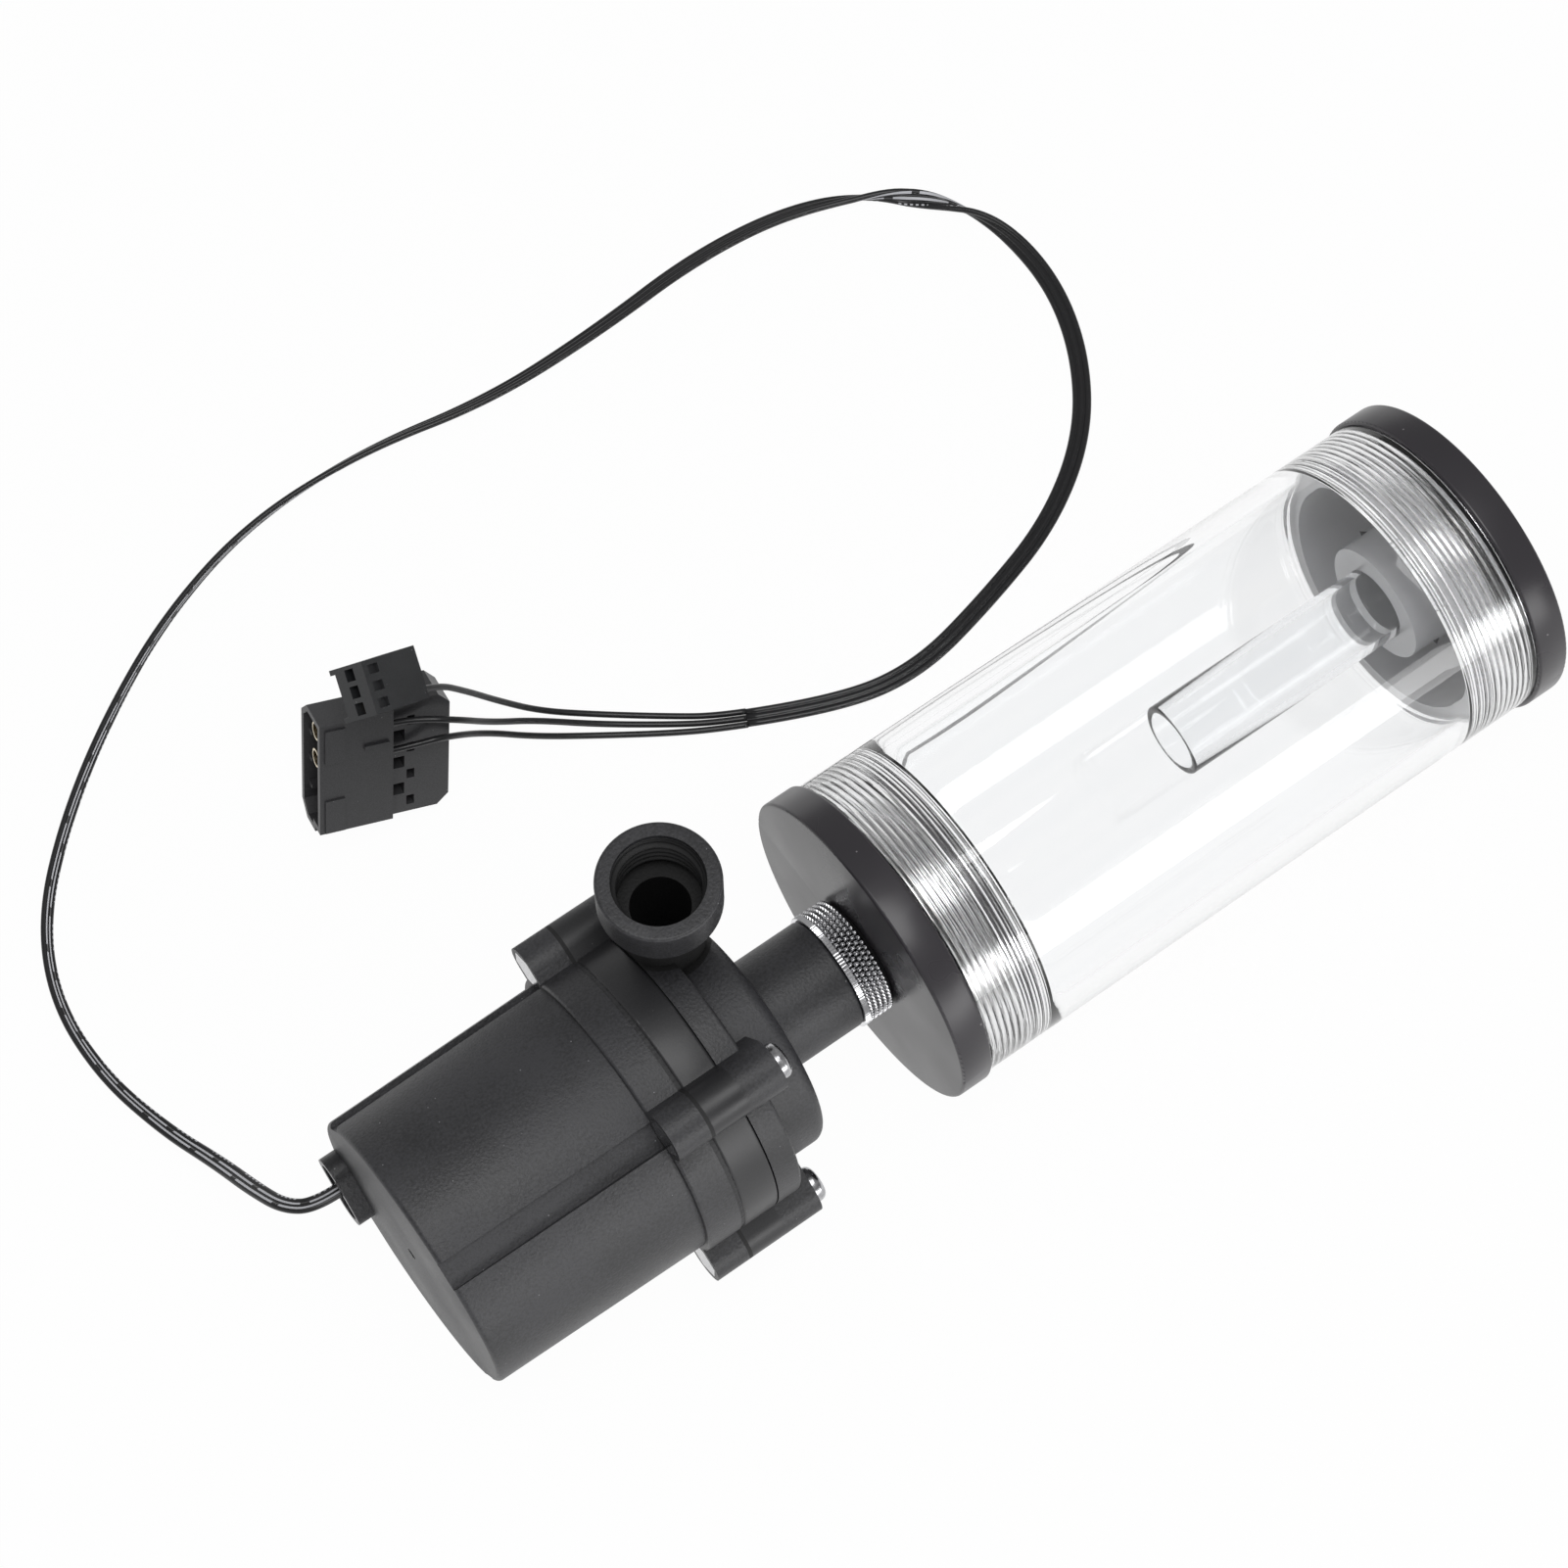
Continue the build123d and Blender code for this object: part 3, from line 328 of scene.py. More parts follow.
def between(low, high):
    # Marks what lies between two places along the pump's axis
    def mark(tree):
        along = addNode(tree, "SeparateXYZ", {"Vector": objectPlace(tree)}).outputs[0]
        above = addNode(tree, "Math", {0: along, 1: low}, operation="GREATER_THAN")
        below = addNode(tree, "Math", {0: along, 1: high}, operation="LESS_THAN")
        both = addNode(tree, "Math", {0: above.outputs[0], 1: below.outputs[0]}, operation="MULTIPLY")
        return both.outputs[0]
    return mark


def awayFrom(tree, parts, axes):
    # Distance from a line through the origin: the length of the two parts across it
    flat = addNode(tree, "CombineXYZ", {axis: parts.outputs["XYZ".index(axis)] for axis in axes})
    return addNode(tree, "VectorMath", {0: flat.outputs[0]}, operation="LENGTH").outputs["Value"]


def insidePort(mouth, radius, lip):
    # Marks the wall of a standing bore: nearer its axis than the radius, and more than the lip below its
    # mouth
    def mark(tree):
        moved = objectPlace(tree, move=tuple(-v for v in mouth))
        parts = addNode(tree, "SeparateXYZ", {"Vector": moved})
        near = addNode(tree, "Math", {0: awayFrom(tree, parts, "XY"), 1: radius}, operation="LESS_THAN")
        deep = addNode(tree, "Math", {0: parts.outputs[2], 1: -lip}, operation="LESS_THAN")
        both = addNode(tree, "Math", {0: near.outputs[0], 1: deep.outputs[0]}, operation="MULTIPLY")
        return both.outputs[0]
    return mark


def nearAxis(radius, low, high, softEdge):
    # Marks what lies nearer the pump's axis than the radius, between two places along it
    def mark(tree):
        parts = addNode(tree, "SeparateXYZ", {"Vector": objectPlace(tree, move=(0, 0, -axisHeight))})
        near = addNode(tree, "MapRange", {0: awayFrom(tree, parts, "YZ"), 1: radius, 2: radius - softEdge})
        zone = between(low, high)(tree)
        return addNode(tree, "Math", {0: near.outputs[0], 1: zone}, operation="MULTIPLY").outputs[0]
    return mark


def withDust(tree, place, tone, dust, cells, size, share):
    # Pale specks on a tone: round dots in Voronoi cells, kept where the cell's random red is above the share
    specks = addNode(tree, "TexVoronoi", {"Vector": place, "Scale": cells, "Randomness": 1.0})
    near = addNode(tree, "Math", {0: specks.outputs["Distance"], 1: size}, operation="LESS_THAN")
    pick = addNode(tree, "SeparateColor", {"Color": specks.outputs["Color"]})
    few = addNode(tree, "Math", {0: pick.outputs[0], 1: share}, operation="GREATER_THAN")
    speck = addNode(tree, "Math", {0: near.outputs[0], 1: few.outputs[0]}, operation="MULTIPLY")
    return addNode(tree, "MixRGB", {0: speck.outputs[0], 1: tone.outputs[0], 2: hexColour(dust)})


def finishSockets(tree, colour, rough, bump, paintedShadingRegion=None):
    # The sockets of a finish. Inside the painted shading region, where there is one, another tone paints
    # light and shade, and the roughness changes
    if paintedShadingRegion:
        colour, rough = paintedShadingFinish(tree, colour, rough, *paintedShadingRegion)
    return {"Base Color": colour.outputs[0], "Roughness": rough.outputs[0], "Normal": bump.outputs[0]}


def mouldedBlack(dark, light, dust, grainSize, bumpHeight, roughLow, roughHigh, paintedShadingRegion=None):
    # Moulded plastic: a fine sandy grain, slow patches of tone from flow in the mould, and sparse pale
    # dust specks. paintedShadingRegion is a function that marks a part of the surface, with the colour
    # that paints light and shade there and the change of roughness there
    def build(tree):
        place = objectPlace(tree)
        grain, bump = grainBump(tree, place, grainSize, bumpHeight, detail=5.0)
        slow = addNode(tree, "TexNoise", {"Vector": place, "Scale": 55.0, "Detail": 2.0})
        mixed = addNode(tree, "Math", {0: grain.outputs[0], 1: slow.outputs[0]}, operation="ADD")
        half = addNode(tree, "MapRange", {0: mixed.outputs[0], 1: 0.82, 2: 1.18})
        tone = addNode(tree, "MixRGB", {0: half.outputs[0], 1: hexColour(dark), 2: hexColour(light)})
        colour = withDust(tree, place, tone, dust, 620.0, 0.06, 0.75)
        rough = addNode(tree, "MapRange", {0: slow.outputs[0], 1: 0.3, 2: 0.7, 3: roughLow, 4: roughHigh})
        return finishSockets(tree, colour, rough, bump, paintedShadingRegion)
    return build


def turnedFace(dark, light, dust, pitch, height, roughLow, roughHigh, paintedShadingRegion=None):
    # Plastic turned on a lathe: rings round the axis, pitch apart, as sin(2 pi r / pitch), with dust specks
    def build(tree):
        place = objectPlace(tree, move=(0, 0, -axisHeight))
        radius = awayFrom(tree, addNode(tree, "SeparateXYZ", {"Vector": place}), "YZ")
        phase = addNode(tree, "Math", {0: radius, 1: 2 * math.pi / pitch}, operation="MULTIPLY")
        wave = addNode(tree, "Math", {0: phase.outputs[0]}, operation="SINE")
        grain = addNode(tree, "TexNoise", {"Vector": place, "Scale": 3200.0, "Detail": 2.0})
        rings = addNode(tree, "Math", {0: wave.outputs[0], 1: grain.outputs[0]}, operation="ADD")
        bump = addNode(tree, "Bump", {"Height": rings.outputs[0], "Distance": height, "Strength": 0.5})
        slow = addNode(tree, "TexNoise", {"Vector": place, "Scale": 40.0, "Detail": 3.0})
        tone = addNode(tree, "MixRGB", {0: slow.outputs[0], 1: hexColour(dark), 2: hexColour(light)})
        colour = withDust(tree, place, tone, dust, 480.0, 0.08, 0.82)
        rough = addNode(tree, "MapRange", {0: slow.outputs[0], 1: 0.3, 2: 0.7, 3: roughLow, 4: roughHigh})
        return finishSockets(tree, colour, rough, bump, paintedShadingRegion)
    return build


def twoTone(dark, light, grainSize, bumpHeight, roughLow, roughHigh, stretch=(1, 1, 1), paintedShadingRegion=None):
    # A plain finish with a grain: colour and roughness go between two values with the same noise
    def build(tree):
        place = objectPlace(tree, scale=stretch)
        grain, bump = grainBump(tree, place, grainSize, bumpHeight)
        colour = addNode(tree, "MixRGB", {0: grain.outputs[0], 1: hexColour(dark), 2: hexColour(light)})
        rough = addNode(tree, "MapRange", {0: grain.outputs[0], 3: roughLow, 4: roughHigh})
        return finishSockets(tree, colour, rough, bump, paintedShadingRegion)
    return build


def drawnAcrylic(tree):
    # The colour, roughness and bump of the plain drawn wall
    place = objectPlace(tree, scale=(0.025, 1, 1))
    line = addNode(tree, "TexNoise", {"Vector": place, "Scale": 260.0, "Detail": 2.0})
    bump = addNode(tree, "Bump", {"Height": line.outputs[0], "Distance": 0.02 * mm, "Strength": 0.35})
    rough = addNode(tree, "MapRange", {0: line.outputs[0], 3: 0.0, 4: 0.03})
    tint = addNode(tree, "MixRGB", {0: line.outputs[0], 1: hexColour("#f8f9fa"), 2: hexColour("#ffffff")})
    return tint, rough, bump


def clearWall(threads):
    # Extruded acrylic: long shallow draw lines along the tube, as noise stretched 40 times along the
    # axis. The cut threads at both ends are a little frosted
    def build(tree):
        colour, rough, bump = drawnAcrylic(tree)
        for mark, roughness in threads:
            amount = addNode(tree, "Math", {0: mark(tree), 1: roughness}, operation="MULTIPLY")
            rough = addNode(tree, "Math", {0: rough.outputs[0], 1: amount.outputs[0]}, operation="ADD")
        return finishSockets(tree, colour, rough, bump)
    return build


surfacePlaces = {
    "rearFace": (-95 * mm, -94.55 * mm), "endCapInside": (70 * mm, 89.2 * mm),
    "outletMouth": (-40.3 * mm, 12.2 * mm, 63.3 * mm), "outletBore": 6.7 * mm, "outletLip": 1.0 * mm,
    "nearThread": (-20 * mm, -1.5 * mm), "farThread": (80.8 * mm, 90 * mm),
    "studFoot": 8.84 * mm, "studs": (-20.1 * mm, -15.8 * mm), "studEdge": 0.2 * mm,
}
# painted shade: this mark darkens the wall of the outlet bore in the cover's nylon
bore = insidePort(*[surfacePlaces[name] for name in ("outletMouth", "outletBore", "outletLip")])
paintedShadeBetweenStuds = nearAxis(surfacePlaces["studFoot"], *surfacePlaces["studs"], surfacePlaces["studEdge"])
materials = {
    # glass-filled nylon, moulded: satin black, a sandy skin that scatters the light
    "nylon": makeMaterial("glassFilledNylon", mouldedBlack(
        "#242426", "#38383b", "#7d7d80", 0.42 * mm, 0.075 * mm, 0.40, 0.54,
        # painted light: the rear face is given a lighter tone than the rest of the housing, and also a lower
        # roughness
        paintedShadingRegion=(between(*surfacePlaces["rearFace"]), "#3f3d40", -0.12)), IOR=1.53),
    # painted shade: a near-black tone and higher roughness on the wall of the outlet bore
    "coverNylonShadedBore": makeMaterial("glassFilledNylonCoverPaintedShade", mouldedBlack(
        "#242426", "#38383b", "#7d7d80", 0.42 * mm, 0.075 * mm, 0.40, 0.54,
        paintedShadingRegion=(bore, "#0b0b0c", 0.25)), IOR=1.53),
    # painted shade: the threaded wall of the outlet, which the light hardly reaches, gets a darker nylon tone
    "paintedShadeNylon": makeMaterial("glassFilledNylonThreadPaintedShade", mouldedBlack(
        "#161617", "#1e1e1f", "#2c2c2e", 0.3 * mm, 0.02 * mm, 0.5, 0.6), IOR=1.53),
    # the same nylon inside the pump, wet side
    "canNylon": makeMaterial("rotorCanNylon", mouldedBlack(
        "#232325", "#2a2a2c", "#5a5a5c", 0.25 * mm, 0.01 * mm, 0.35, 0.5), IOR=1.53),
    "seamNylon": makeMaterial("flashAtSeam", twoTone(
        "#161617", "#3a3a3c", 0.5 * mm, 0.1 * mm, 0.5, 0.7), IOR=1.5),
    "rubber": makeMaterial("nitrileRubber", twoTone(
        "#101011", "#1c1c1d", 0.2 * mm, 0.03 * mm, 0.6, 0.78), IOR=1.5),
    # acetal turned from bar: satin, with rings that catch the light
    "acetal": makeMaterial("turnedAcetal", turnedFace(
        "#2d2b2e", "#38353a", "#7b797c", 0.22 * mm, 0.004 * mm, 0.25, 0.36), IOR=1.48),
    "endAcetalPaintedLight": makeMaterial("turnedAcetalEndPaintedLight", turnedFace(
        "#2d2b2e", "#38353a", "#7b797c", 0.22 * mm, 0.004 * mm, 0.25, 0.36,
        # painted light: the inside of the end cap is given a pale tone and a lower roughness
        paintedShadingRegion=(between(*surfacePlaces["endCapInside"]), "#b8b8ba", -0.12)), IOR=1.48),
    "acrylic": makeMaterial("clearAcrylic", clearWall([
        (between(*surfacePlaces["nearThread"]), 0.09), (between(*surfacePlaces["farThread"]), 0.1),
    ]), IOR=1.49, **{"Transmission Weight": 1.0}),
    # fainter than the outer tube, as in the photo, so its index is set below acrylic's 1.49
    "riserAcrylic": makeMaterial("clearAcrylicPipe", clearWall([]), IOR=1.35, **{"Transmission Weight": 1.0}),
    # painted shade: a dark tone and higher roughness between the collar's studs
    "nickel": makeMaterial("nickelPlatedBrass", twoTone(
        "#c9c9cc", "#e6e6e8", 0.5 * mm, 0.004 * mm, 0.07, 0.16,
        paintedShadingRegion=(paintedShadeBetweenStuds, "#131314", 0.3)), Metallic=1.0),
    "stainless": makeMaterial("stainlessSteel", twoTone(
        "#6f6f72", "#dcdcde", 0.8 * mm, 0.03 * mm, 0.14, 0.28), Metallic=1.0),
    "connector": makeMaterial("connectorNylon", mouldedBlack(
        "#303032", "#3f3f41", "#77777a", 0.2 * mm, 0.012 * mm, 0.34, 0.5), IOR=1.53),
    "fanNylon": makeMaterial("fanPlugNylon", mouldedBlack(
        "#242527", "#2d2e30", "#77777a", 0.2 * mm, 0.012 * mm, 0.3, 0.45), IOR=1.53),
    "brass": makeMaterial("tinnedBrass", twoTone(
        "#b7a888", "#e9dfc9", 0.3 * mm, 0.004 * mm, 0.18, 0.32), Metallic=1.0),
    "board": makeMaterial("glassEpoxyBoard", twoTone(
        "#0f3d22", "#1b5a34", 0.6 * mm, 0.01 * mm, 0.3, 0.5), IOR=1.55),
    "chip": makeMaterial("mouldedEpoxy", twoTone(
        "#1a1a1b", "#252526", 0.15 * mm, 0.01 * mm, 0.5, 0.65), IOR=1.55),
    "lamination": makeMaterial("siliconSteel", twoTone(
        "#6e7074", "#9a9ca0", 0.35 * mm, 0.02 * mm, 0.3, 0.5, stretch=(1, 0.05, 0.05)), Metallic=1.0),
    "copper": makeMaterial("enamelledCopper", twoTone(
        "#8a4a26", "#c07a4c", 0.45 * mm, 0.12 * mm, 0.22, 0.4, stretch=(0.1, 1, 1)), Metallic=1.0),
    "ferrite": makeMaterial("sinteredFerrite", twoTone(
        "#2e2e30", "#454547", 0.12 * mm, 0.01 * mm, 0.5, 0.7), IOR=2.2),
    "carbon": makeMaterial("pressedCarbon", twoTone(
        "#1f1f20", "#303032", 0.1 * mm, 0.01 * mm, 0.4, 0.6), IOR=1.8),
    "ceramic": makeMaterial("aluminaCeramic", twoTone(
        "#dedad0", "#efece4", 0.3 * mm, 0.003 * mm, 0.12, 0.25), IOR=1.76),
    "impeller": makeMaterial("impellerNylon", mouldedBlack(
        "#2e2e31", "#38383b", "#6a6a6c", 0.25 * mm, 0.012 * mm, 0.35, 0.5), IOR=1.53),
}
nodeFinish = {
    "motor_housing": "nylon", "volute_cover": "coverNylonShadedBore", "rotor_can": "canNylon",
    "cable_grommet": "rubber", "driver_board": "board", "board_components": "chip",
    "stator_core": "lamination", "stator_windings": "copper", "housing_gasket": "rubber",
    "cover_seal": "rubber", "pump_shaft": "ceramic", "thrust_washers": "ceramic", "rotor_bushes": "carbon",
    "rotor_magnet": "ferrite", "impeller": "impeller", "cover_screws": "stainless",
    "screw_nuts": "stainless", "joining_fitting": "nickel", "fitting_seals": "rubber",
    "pump_side_cap": "acetal", "end_cap": "endAcetalPaintedLight", "cap_seals": "rubber",
    "reservoir_tube": "acrylic", "inner_tube": "riserAcrylic", "power_plug": "connector",
    "power_socket": "connector", "fan_plug": "fanNylon", "power_terminals": "brass",
    "fan_terminal": "brass",
}
for name, finish in nodeFinish.items():
    node = nodes[name]
    node.data.materials.clear()
    node.data.materials.append(materials[finish])
    node.data.polygons.foreach_set("use_smooth", np.ones(len(node.data.polygons), bool))
    weld = node.modifiers.new("weld", "WELD")
    weld.merge_threshold = 0.004 * mm
    splitEdges(node, 28)
print("materials done")


tank = {
    "startX": -10.15 * mm, "endX": 89.45 * mm, "radius": 24.4 * mm, "bore": 21.4 * mm, "chamfer": 0.25 * mm,
    "threadLength": 8.1 * mm, "threadPitch": 1.0 * mm, "threadDepth": 0.6 * mm, "around": 256,
    "runOut": 3.8 * mm, "runOutDepth": 0.5 * mm, "grooves": 3,
}


def reservoirWall(t):
    # Outside: a plain cylinder with chamfered ends. Bore: radius = bore + depth * V(x / pitch - angle / 2
    # pi), where V is a rounded zigzag from 0 to 1, faded out at the thread's inner end, and then three
    # run-out grooves, depth * sin^2(3 pi share of the run-out). The rows run round from outside to bore
    angle = np.linspace(0, 2 * np.pi, t["around"], endpoint=False)
    out = np.r_[t["startX"], t["startX"] + t["chamfer"], np.linspace(
        t["startX"] + 1 * mm, t["endX"] - 1 * mm, 12), t["endX"] - t["chamfer"], t["endX"]]
    end = t["radius"] - t["chamfer"]
    outRadius = np.r_[end, np.full(len(out) - 2, t["radius"]), end]
    cut = t["threadLength"] + t["runOut"]
    steps = int(cut / t["threadPitch"] * 12)
    depthIn = np.linspace(0, cut, steps)
    inner = np.r_[t["endX"] - depthIn, np.linspace(t["endX"] - cut - 2 * mm, t["startX"] + cut + 2 * mm, 10),
                  (t["startX"] + depthIn)[::-1]]
    x, a = np.meshgrid(inner, angle, indexing="ij")
    fromEnd = np.minimum(t["endX"] - x, x - t["startX"])
    fade = np.clip((t["threadLength"] - fromEnd) / (0.8 * t["threadPitch"]), 0, 1)
    phase = x / t["threadPitch"] - a / (2 * np.pi)
    vee = np.abs(2 * (phase - np.floor(phase)) - 1)
    vee = 0.5 - 0.5 * np.cos(np.pi * vee) * 0.35 + 0.65 * (vee - 0.5)
    groove = np.sin(t["grooves"] * np.pi * np.clip((fromEnd - t["threadLength"]) / t["runOut"], 0, 1)) ** 2
    innerRadius = t["bore"] + t["threadDepth"] * np.clip(vee, 0, 1) * fade + t["runOutDepth"] * groove
    xOut, aOut = np.meshgrid(out, angle, indexing="ij")
    rOut = np.repeat(outRadius[:, None], t["around"], 1)
    points = np.vstack([ringPoints(xOut, rOut, aOut), ringPoints(x, innerRadius, a)])
    return points, gridFaces(len(points), t["around"], closeRows=True)


reservoirTube = makePiece("reservoirTube", *reservoirWall(tank), materials["acrylic"])
splitEdges(reservoirTube, 40)
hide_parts("reservoir_tube")
print("reservoir tube done")


riser = {
    "startX": 40.65 * mm, "endX": 85.65 * mm, "radius": 5.8 * mm, "wall": 1.1 * mm, "lip": 0.3 * mm,
    "around": 128,
}


def roundedPipe(t):
    # A pipe whose section is a long thin rectangle with quarter-round corners of the lip's radius
    q = np.linspace(0, np.pi / 2, 6)
    inside = t["radius"] - t["wall"]
    lip = t["lip"]
    x = np.r_[t["startX"] + lip - lip * np.cos(q), t["endX"] - lip + lip * np.sin(q),
              t["endX"] - lip + lip * np.cos(q), t["startX"] + lip - lip * np.sin(q)]
    r = np.r_[t["radius"] - lip + lip * np.sin(q), t["radius"] - lip + lip * np.cos(q),
              inside + lip - lip * np.sin(q), inside + lip - lip * np.cos(q)]
    angle = np.linspace(0, 2 * np.pi, t["around"], endpoint=False)
    points = ringPoints(*[np.repeat(v[:, None], t["around"], 1) for v in (x, r)], np.tile(angle, (len(x), 1)))
    return points, gridFaces(len(x), t["around"], closeRows=True)


riserTube = makePiece("riserTube", *roundedPipe(riser), materials["riserAcrylic"])
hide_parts("inner_tube")
print("inner tube done")


fitting = {
    "startX": -27.75 * mm, "collarStart": -20.75 * mm, "collarEnd": -15.75 * mm, "endX": -8.35 * mm,
    "threadRadius": 6.5 * mm, "threadDepth": 0.55 * mm, "threadPitch": 1.337 * mm, "bore": 4.6 * mm,
    "collarRadius": 9.2 * mm, "knurlDepth": 0.62 * mm, "knurlCount": 64, "knurlRows": 5, "studPower": 0.6,
    "plainRim": 0.9 * mm, "tooth": 0.2 * mm, "toothCount": 108, "around": 648,
}


def fittingSurface(t):
    # One skin of revolution. On the collar: radius - depth * (1 - nub), where nub is (0.5 + 0.5 cos(count
    # angle + pi row)) * sin(pi row share), each to a power, which gives rows of small studs. The rim
    # beside them has finer teeth. On the male ends: a V thread. Then back through the bore
    angle = np.linspace(0, 2 * np.pi, t["around"], endpoint=False)
    left = np.linspace(t["startX"], t["collarStart"] - 0.02 * mm, 34)
    collar = np.linspace(t["collarStart"], t["collarEnd"], 72)
    right = np.linspace(t["collarEnd"] + 0.02 * mm, t["endX"], 34)
    out = np.r_[left, collar, right]
    x, a = np.meshgrid(out, angle, indexing="ij")
    phase = x / t["threadPitch"] - a / (2 * np.pi)
    thread = t["threadRadius"] - t["threadDepth"] * np.abs(2 * (phase - np.floor(phase)) - 1)
    knurlStart = t["collarStart"] + t["plainRim"]
    rowPlace = np.clip((x - knurlStart) / (t["collarEnd"] - knurlStart), 0, 0.9999) * t["knurlRows"]
    row = np.floor(rowPlace)
    across = np.sin(np.pi * (rowPlace - row)) ** t["studPower"]
    around = (0.5 + 0.5 * np.cos(t["knurlCount"] * a + row * np.pi)) ** t["studPower"]
    knurl = t["collarRadius"] - t["knurlDepth"] * (1 - across * around)
    plain = t["collarRadius"] - t["tooth"] * (0.5 - 0.5 * np.cos(t["toothCount"] * a))
    onCollar = (x >= t["collarStart"]) & (x <= t["collarEnd"])
    radius = np.where(onCollar, np.where(x < knurlStart, plain, knurl), thread)
    bore = np.full((2, t["around"]), t["bore"])
    xBore = np.repeat(np.array([[t["endX"]], [t["startX"]]]), t["around"], 1)
    points = np.vstack([ringPoints(x, radius, a), ringPoints(xBore, bore, a[:2])])
    return points, gridFaces(len(points), t["around"], closeRows=True)


knurledFitting = makePiece("knurledFitting", *fittingSurface(fitting), materials["nickel"])
splitEdges(knurledFitting, 38)
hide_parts("joining_fitting")
print("fitting done")


ports = {
    "outletThread": {
        "mouth": surfacePlaces["outletMouth"], "inward": (0, 0, -1), "side": (1, 0, 0),
        # the outlet's thread takes the nylon with painted shade
        "finish": "paintedShadeNylon",
    },
    "endCapThread": {
        "mouth": (94.65 * mm, 0, 25 * mm), "inward": (-1, 0, 0), "side": (0, 1, 0), "finish": "acetal",
    },
    "root": 6.56 * mm, "depth": 0.72 * mm, "pitch": 1.337 * mm, "start": 0.9 * mm, "length": 7.6 * mm,
    "backing": 0.05 * mm, "around": 144,
}


def threadRing(port, t):
    # A pipe thread inside a bore: radius = root - depth * rounded V(distance / pitch - angle / 2 pi),
    # faded out over one pitch at both ends. A plain ring just behind it closes the piece
    steps = int(t["length"] / t["pitch"] * 14)
    down = np.linspace(0, t["length"], steps)
    angle = np.linspace(0, 2 * np.pi, t["around"], endpoint=False)
    d, a = np.meshgrid(down, angle, indexing="ij")
    phase = d / t["pitch"] - a / (2 * np.pi)
    vee = 1 - np.abs(2 * (phase - np.floor(phase)) - 1)
    vee = np.clip(1.25 * vee - 0.1, 0, 1)
    fade = np.clip(np.minimum(d, t["length"] - d) / t["pitch"], 0, 1)
    inner = t["root"] - t["depth"] * vee * fade
    dBack, aBack = np.meshgrid([t["length"], 0], angle, indexing="ij")
    back = np.full_like(dBack, t["root"] + t["backing"])
    d, a, r = np.vstack([d, dBack]) + t["start"], np.vstack([a, aBack]), np.vstack([inner, back])
    w, u = np.array(port["inward"], float), np.array(port["side"], float)
    v = np.cross(w, u)
    points = np.array(port["mouth"]) + d[..., None] * w + r[..., None] * (
        np.cos(a)[..., None] * u + np.sin(a)[..., None] * v)
    return points, gridFaces(len(points), t["around"], closeRows=True)[:, ::-1]


for name in ("outletThread", "endCapThread"):
    makePiece(name, *threadRing(ports[name], ports), materials[ports[name]["finish"]])
print("port threads done")


seam = {
    "startX": -52.65 * mm, "endX": -51.25 * mm, "radius": 22.72 * mm, "rough": 0.09 * mm, "depth": 1.6 * mm,
    "around": 720,
}


def seamRing(t):
    # The gasket squeezed out between two flanges: radius = t's radius + rough * (sin 37a + sin 91a + sin
    # 211a) / 3, where a is the angle, on a rounded edge that sinks by the depth on both sides
    angle = np.linspace(0, 2 * np.pi, t["around"], endpoint=False)
    across = np.linspace(0, np.pi, 9)
    a, s = np.meshgrid(angle, across)
    flash = t["rough"] * (np.sin(37 * a) + np.sin(91 * a + 1) + np.sin(211 * a)) / 3 * np.sin(s)
    x = (t["startX"] + t["endX"]) / 2 - (t["endX"] - t["startX"]) / 2 * np.cos(s)
    radius = t["radius"] - t["depth"] * (1 - np.sin(s) ** 0.12) + flash
    return ringPoints(x, radius, a).reshape(-1, 3), gridFaces(len(across), t["around"], closeRows=True)


makePiece("gasketSeam", *seamRing(seam), materials["seamNylon"])
print("gasket seam done")


connector = {
    "place": (-50.4, 74.6, 11.366), "heading": -15.1, "dip": 14.1, "roll": 66.2,
    "width": 21.4, "height": 8.0, "corner": 2.26, "length": 11.5, "wall": 0.9, "depth": 9.0,
    "stepWidth": 0.9, "stepHeight": 2.2, "dividerWidth": 0.7, "dividerHeight": 1.5, "recess": 0.8,
    "pitch": 5.08, "socketLow": -10.55, "socketHigh": 10.45, "socketHeight": 6.2, "socketLength": 9.5,
    "socketCorner": 1.8, "crenel": (2.4, 2.1), "window": (1.2, 1.7), "windowStart": 2.8, "recessDepth": 2.4,
    "shift": -0.8, "terminalRadius": 1.5, "terminalWall": 0.32, "terminalLevel": 4.9, "terminalLength": 8,
    "terminalSetBack": 0.5,
    "overlap": 0.1, "ribX": (-4.6, -0.7), "ribY": (4.75, 5.45), "ribHeight": 0.4,
    "padPlaces": (3.6, -9.6), "padLength": 3.1, "padWidth": 6.1, "padHeight": 0.28,
}


def leaningAxes(heading, dip, roll):
    # Unit directions of a leaning piece: along = (cos h cos d, sin h cos d, -sin d), side = (-sin h, cos
    # h, 0), face = (along x side) cos r - side sin r, and across = face x along
    h, d, r = np.radians([heading, dip, roll])
    along = np.array([np.cos(h) * np.cos(d), np.sin(h) * np.cos(d), -np.sin(d)])
    side = np.array([-np.sin(h), np.cos(h), 0])
    face = np.cross(along, side) * np.cos(r) - side * np.sin(r)
    return np.stack([along, np.cross(face, along), face])


def closedStack(rings):
    # A skin through rings of equally many points. Strips from side to side close the first and the last ring
    rings = np.asarray(rings, float)
    count, n = rings.shape[:2]
    i = np.arange(n // 2 - 1)
    cap = np.stack([i, i + 1, n - 2 - i, n - 1 - i], 1)
    return rings.reshape(-1, 3), np.vstack([gridFaces(count, n), cap[:, ::-1], cap + (count - 1) * n])


def brick(x, y, z):
    # A block between two places along each of its three directions
    corners = [(y[0], z[0]), (y[1], z[0]), (y[1], z[1]), (y[0], z[1])]
    return closedStack([[(end, *corner) for corner in corners] for end in x])


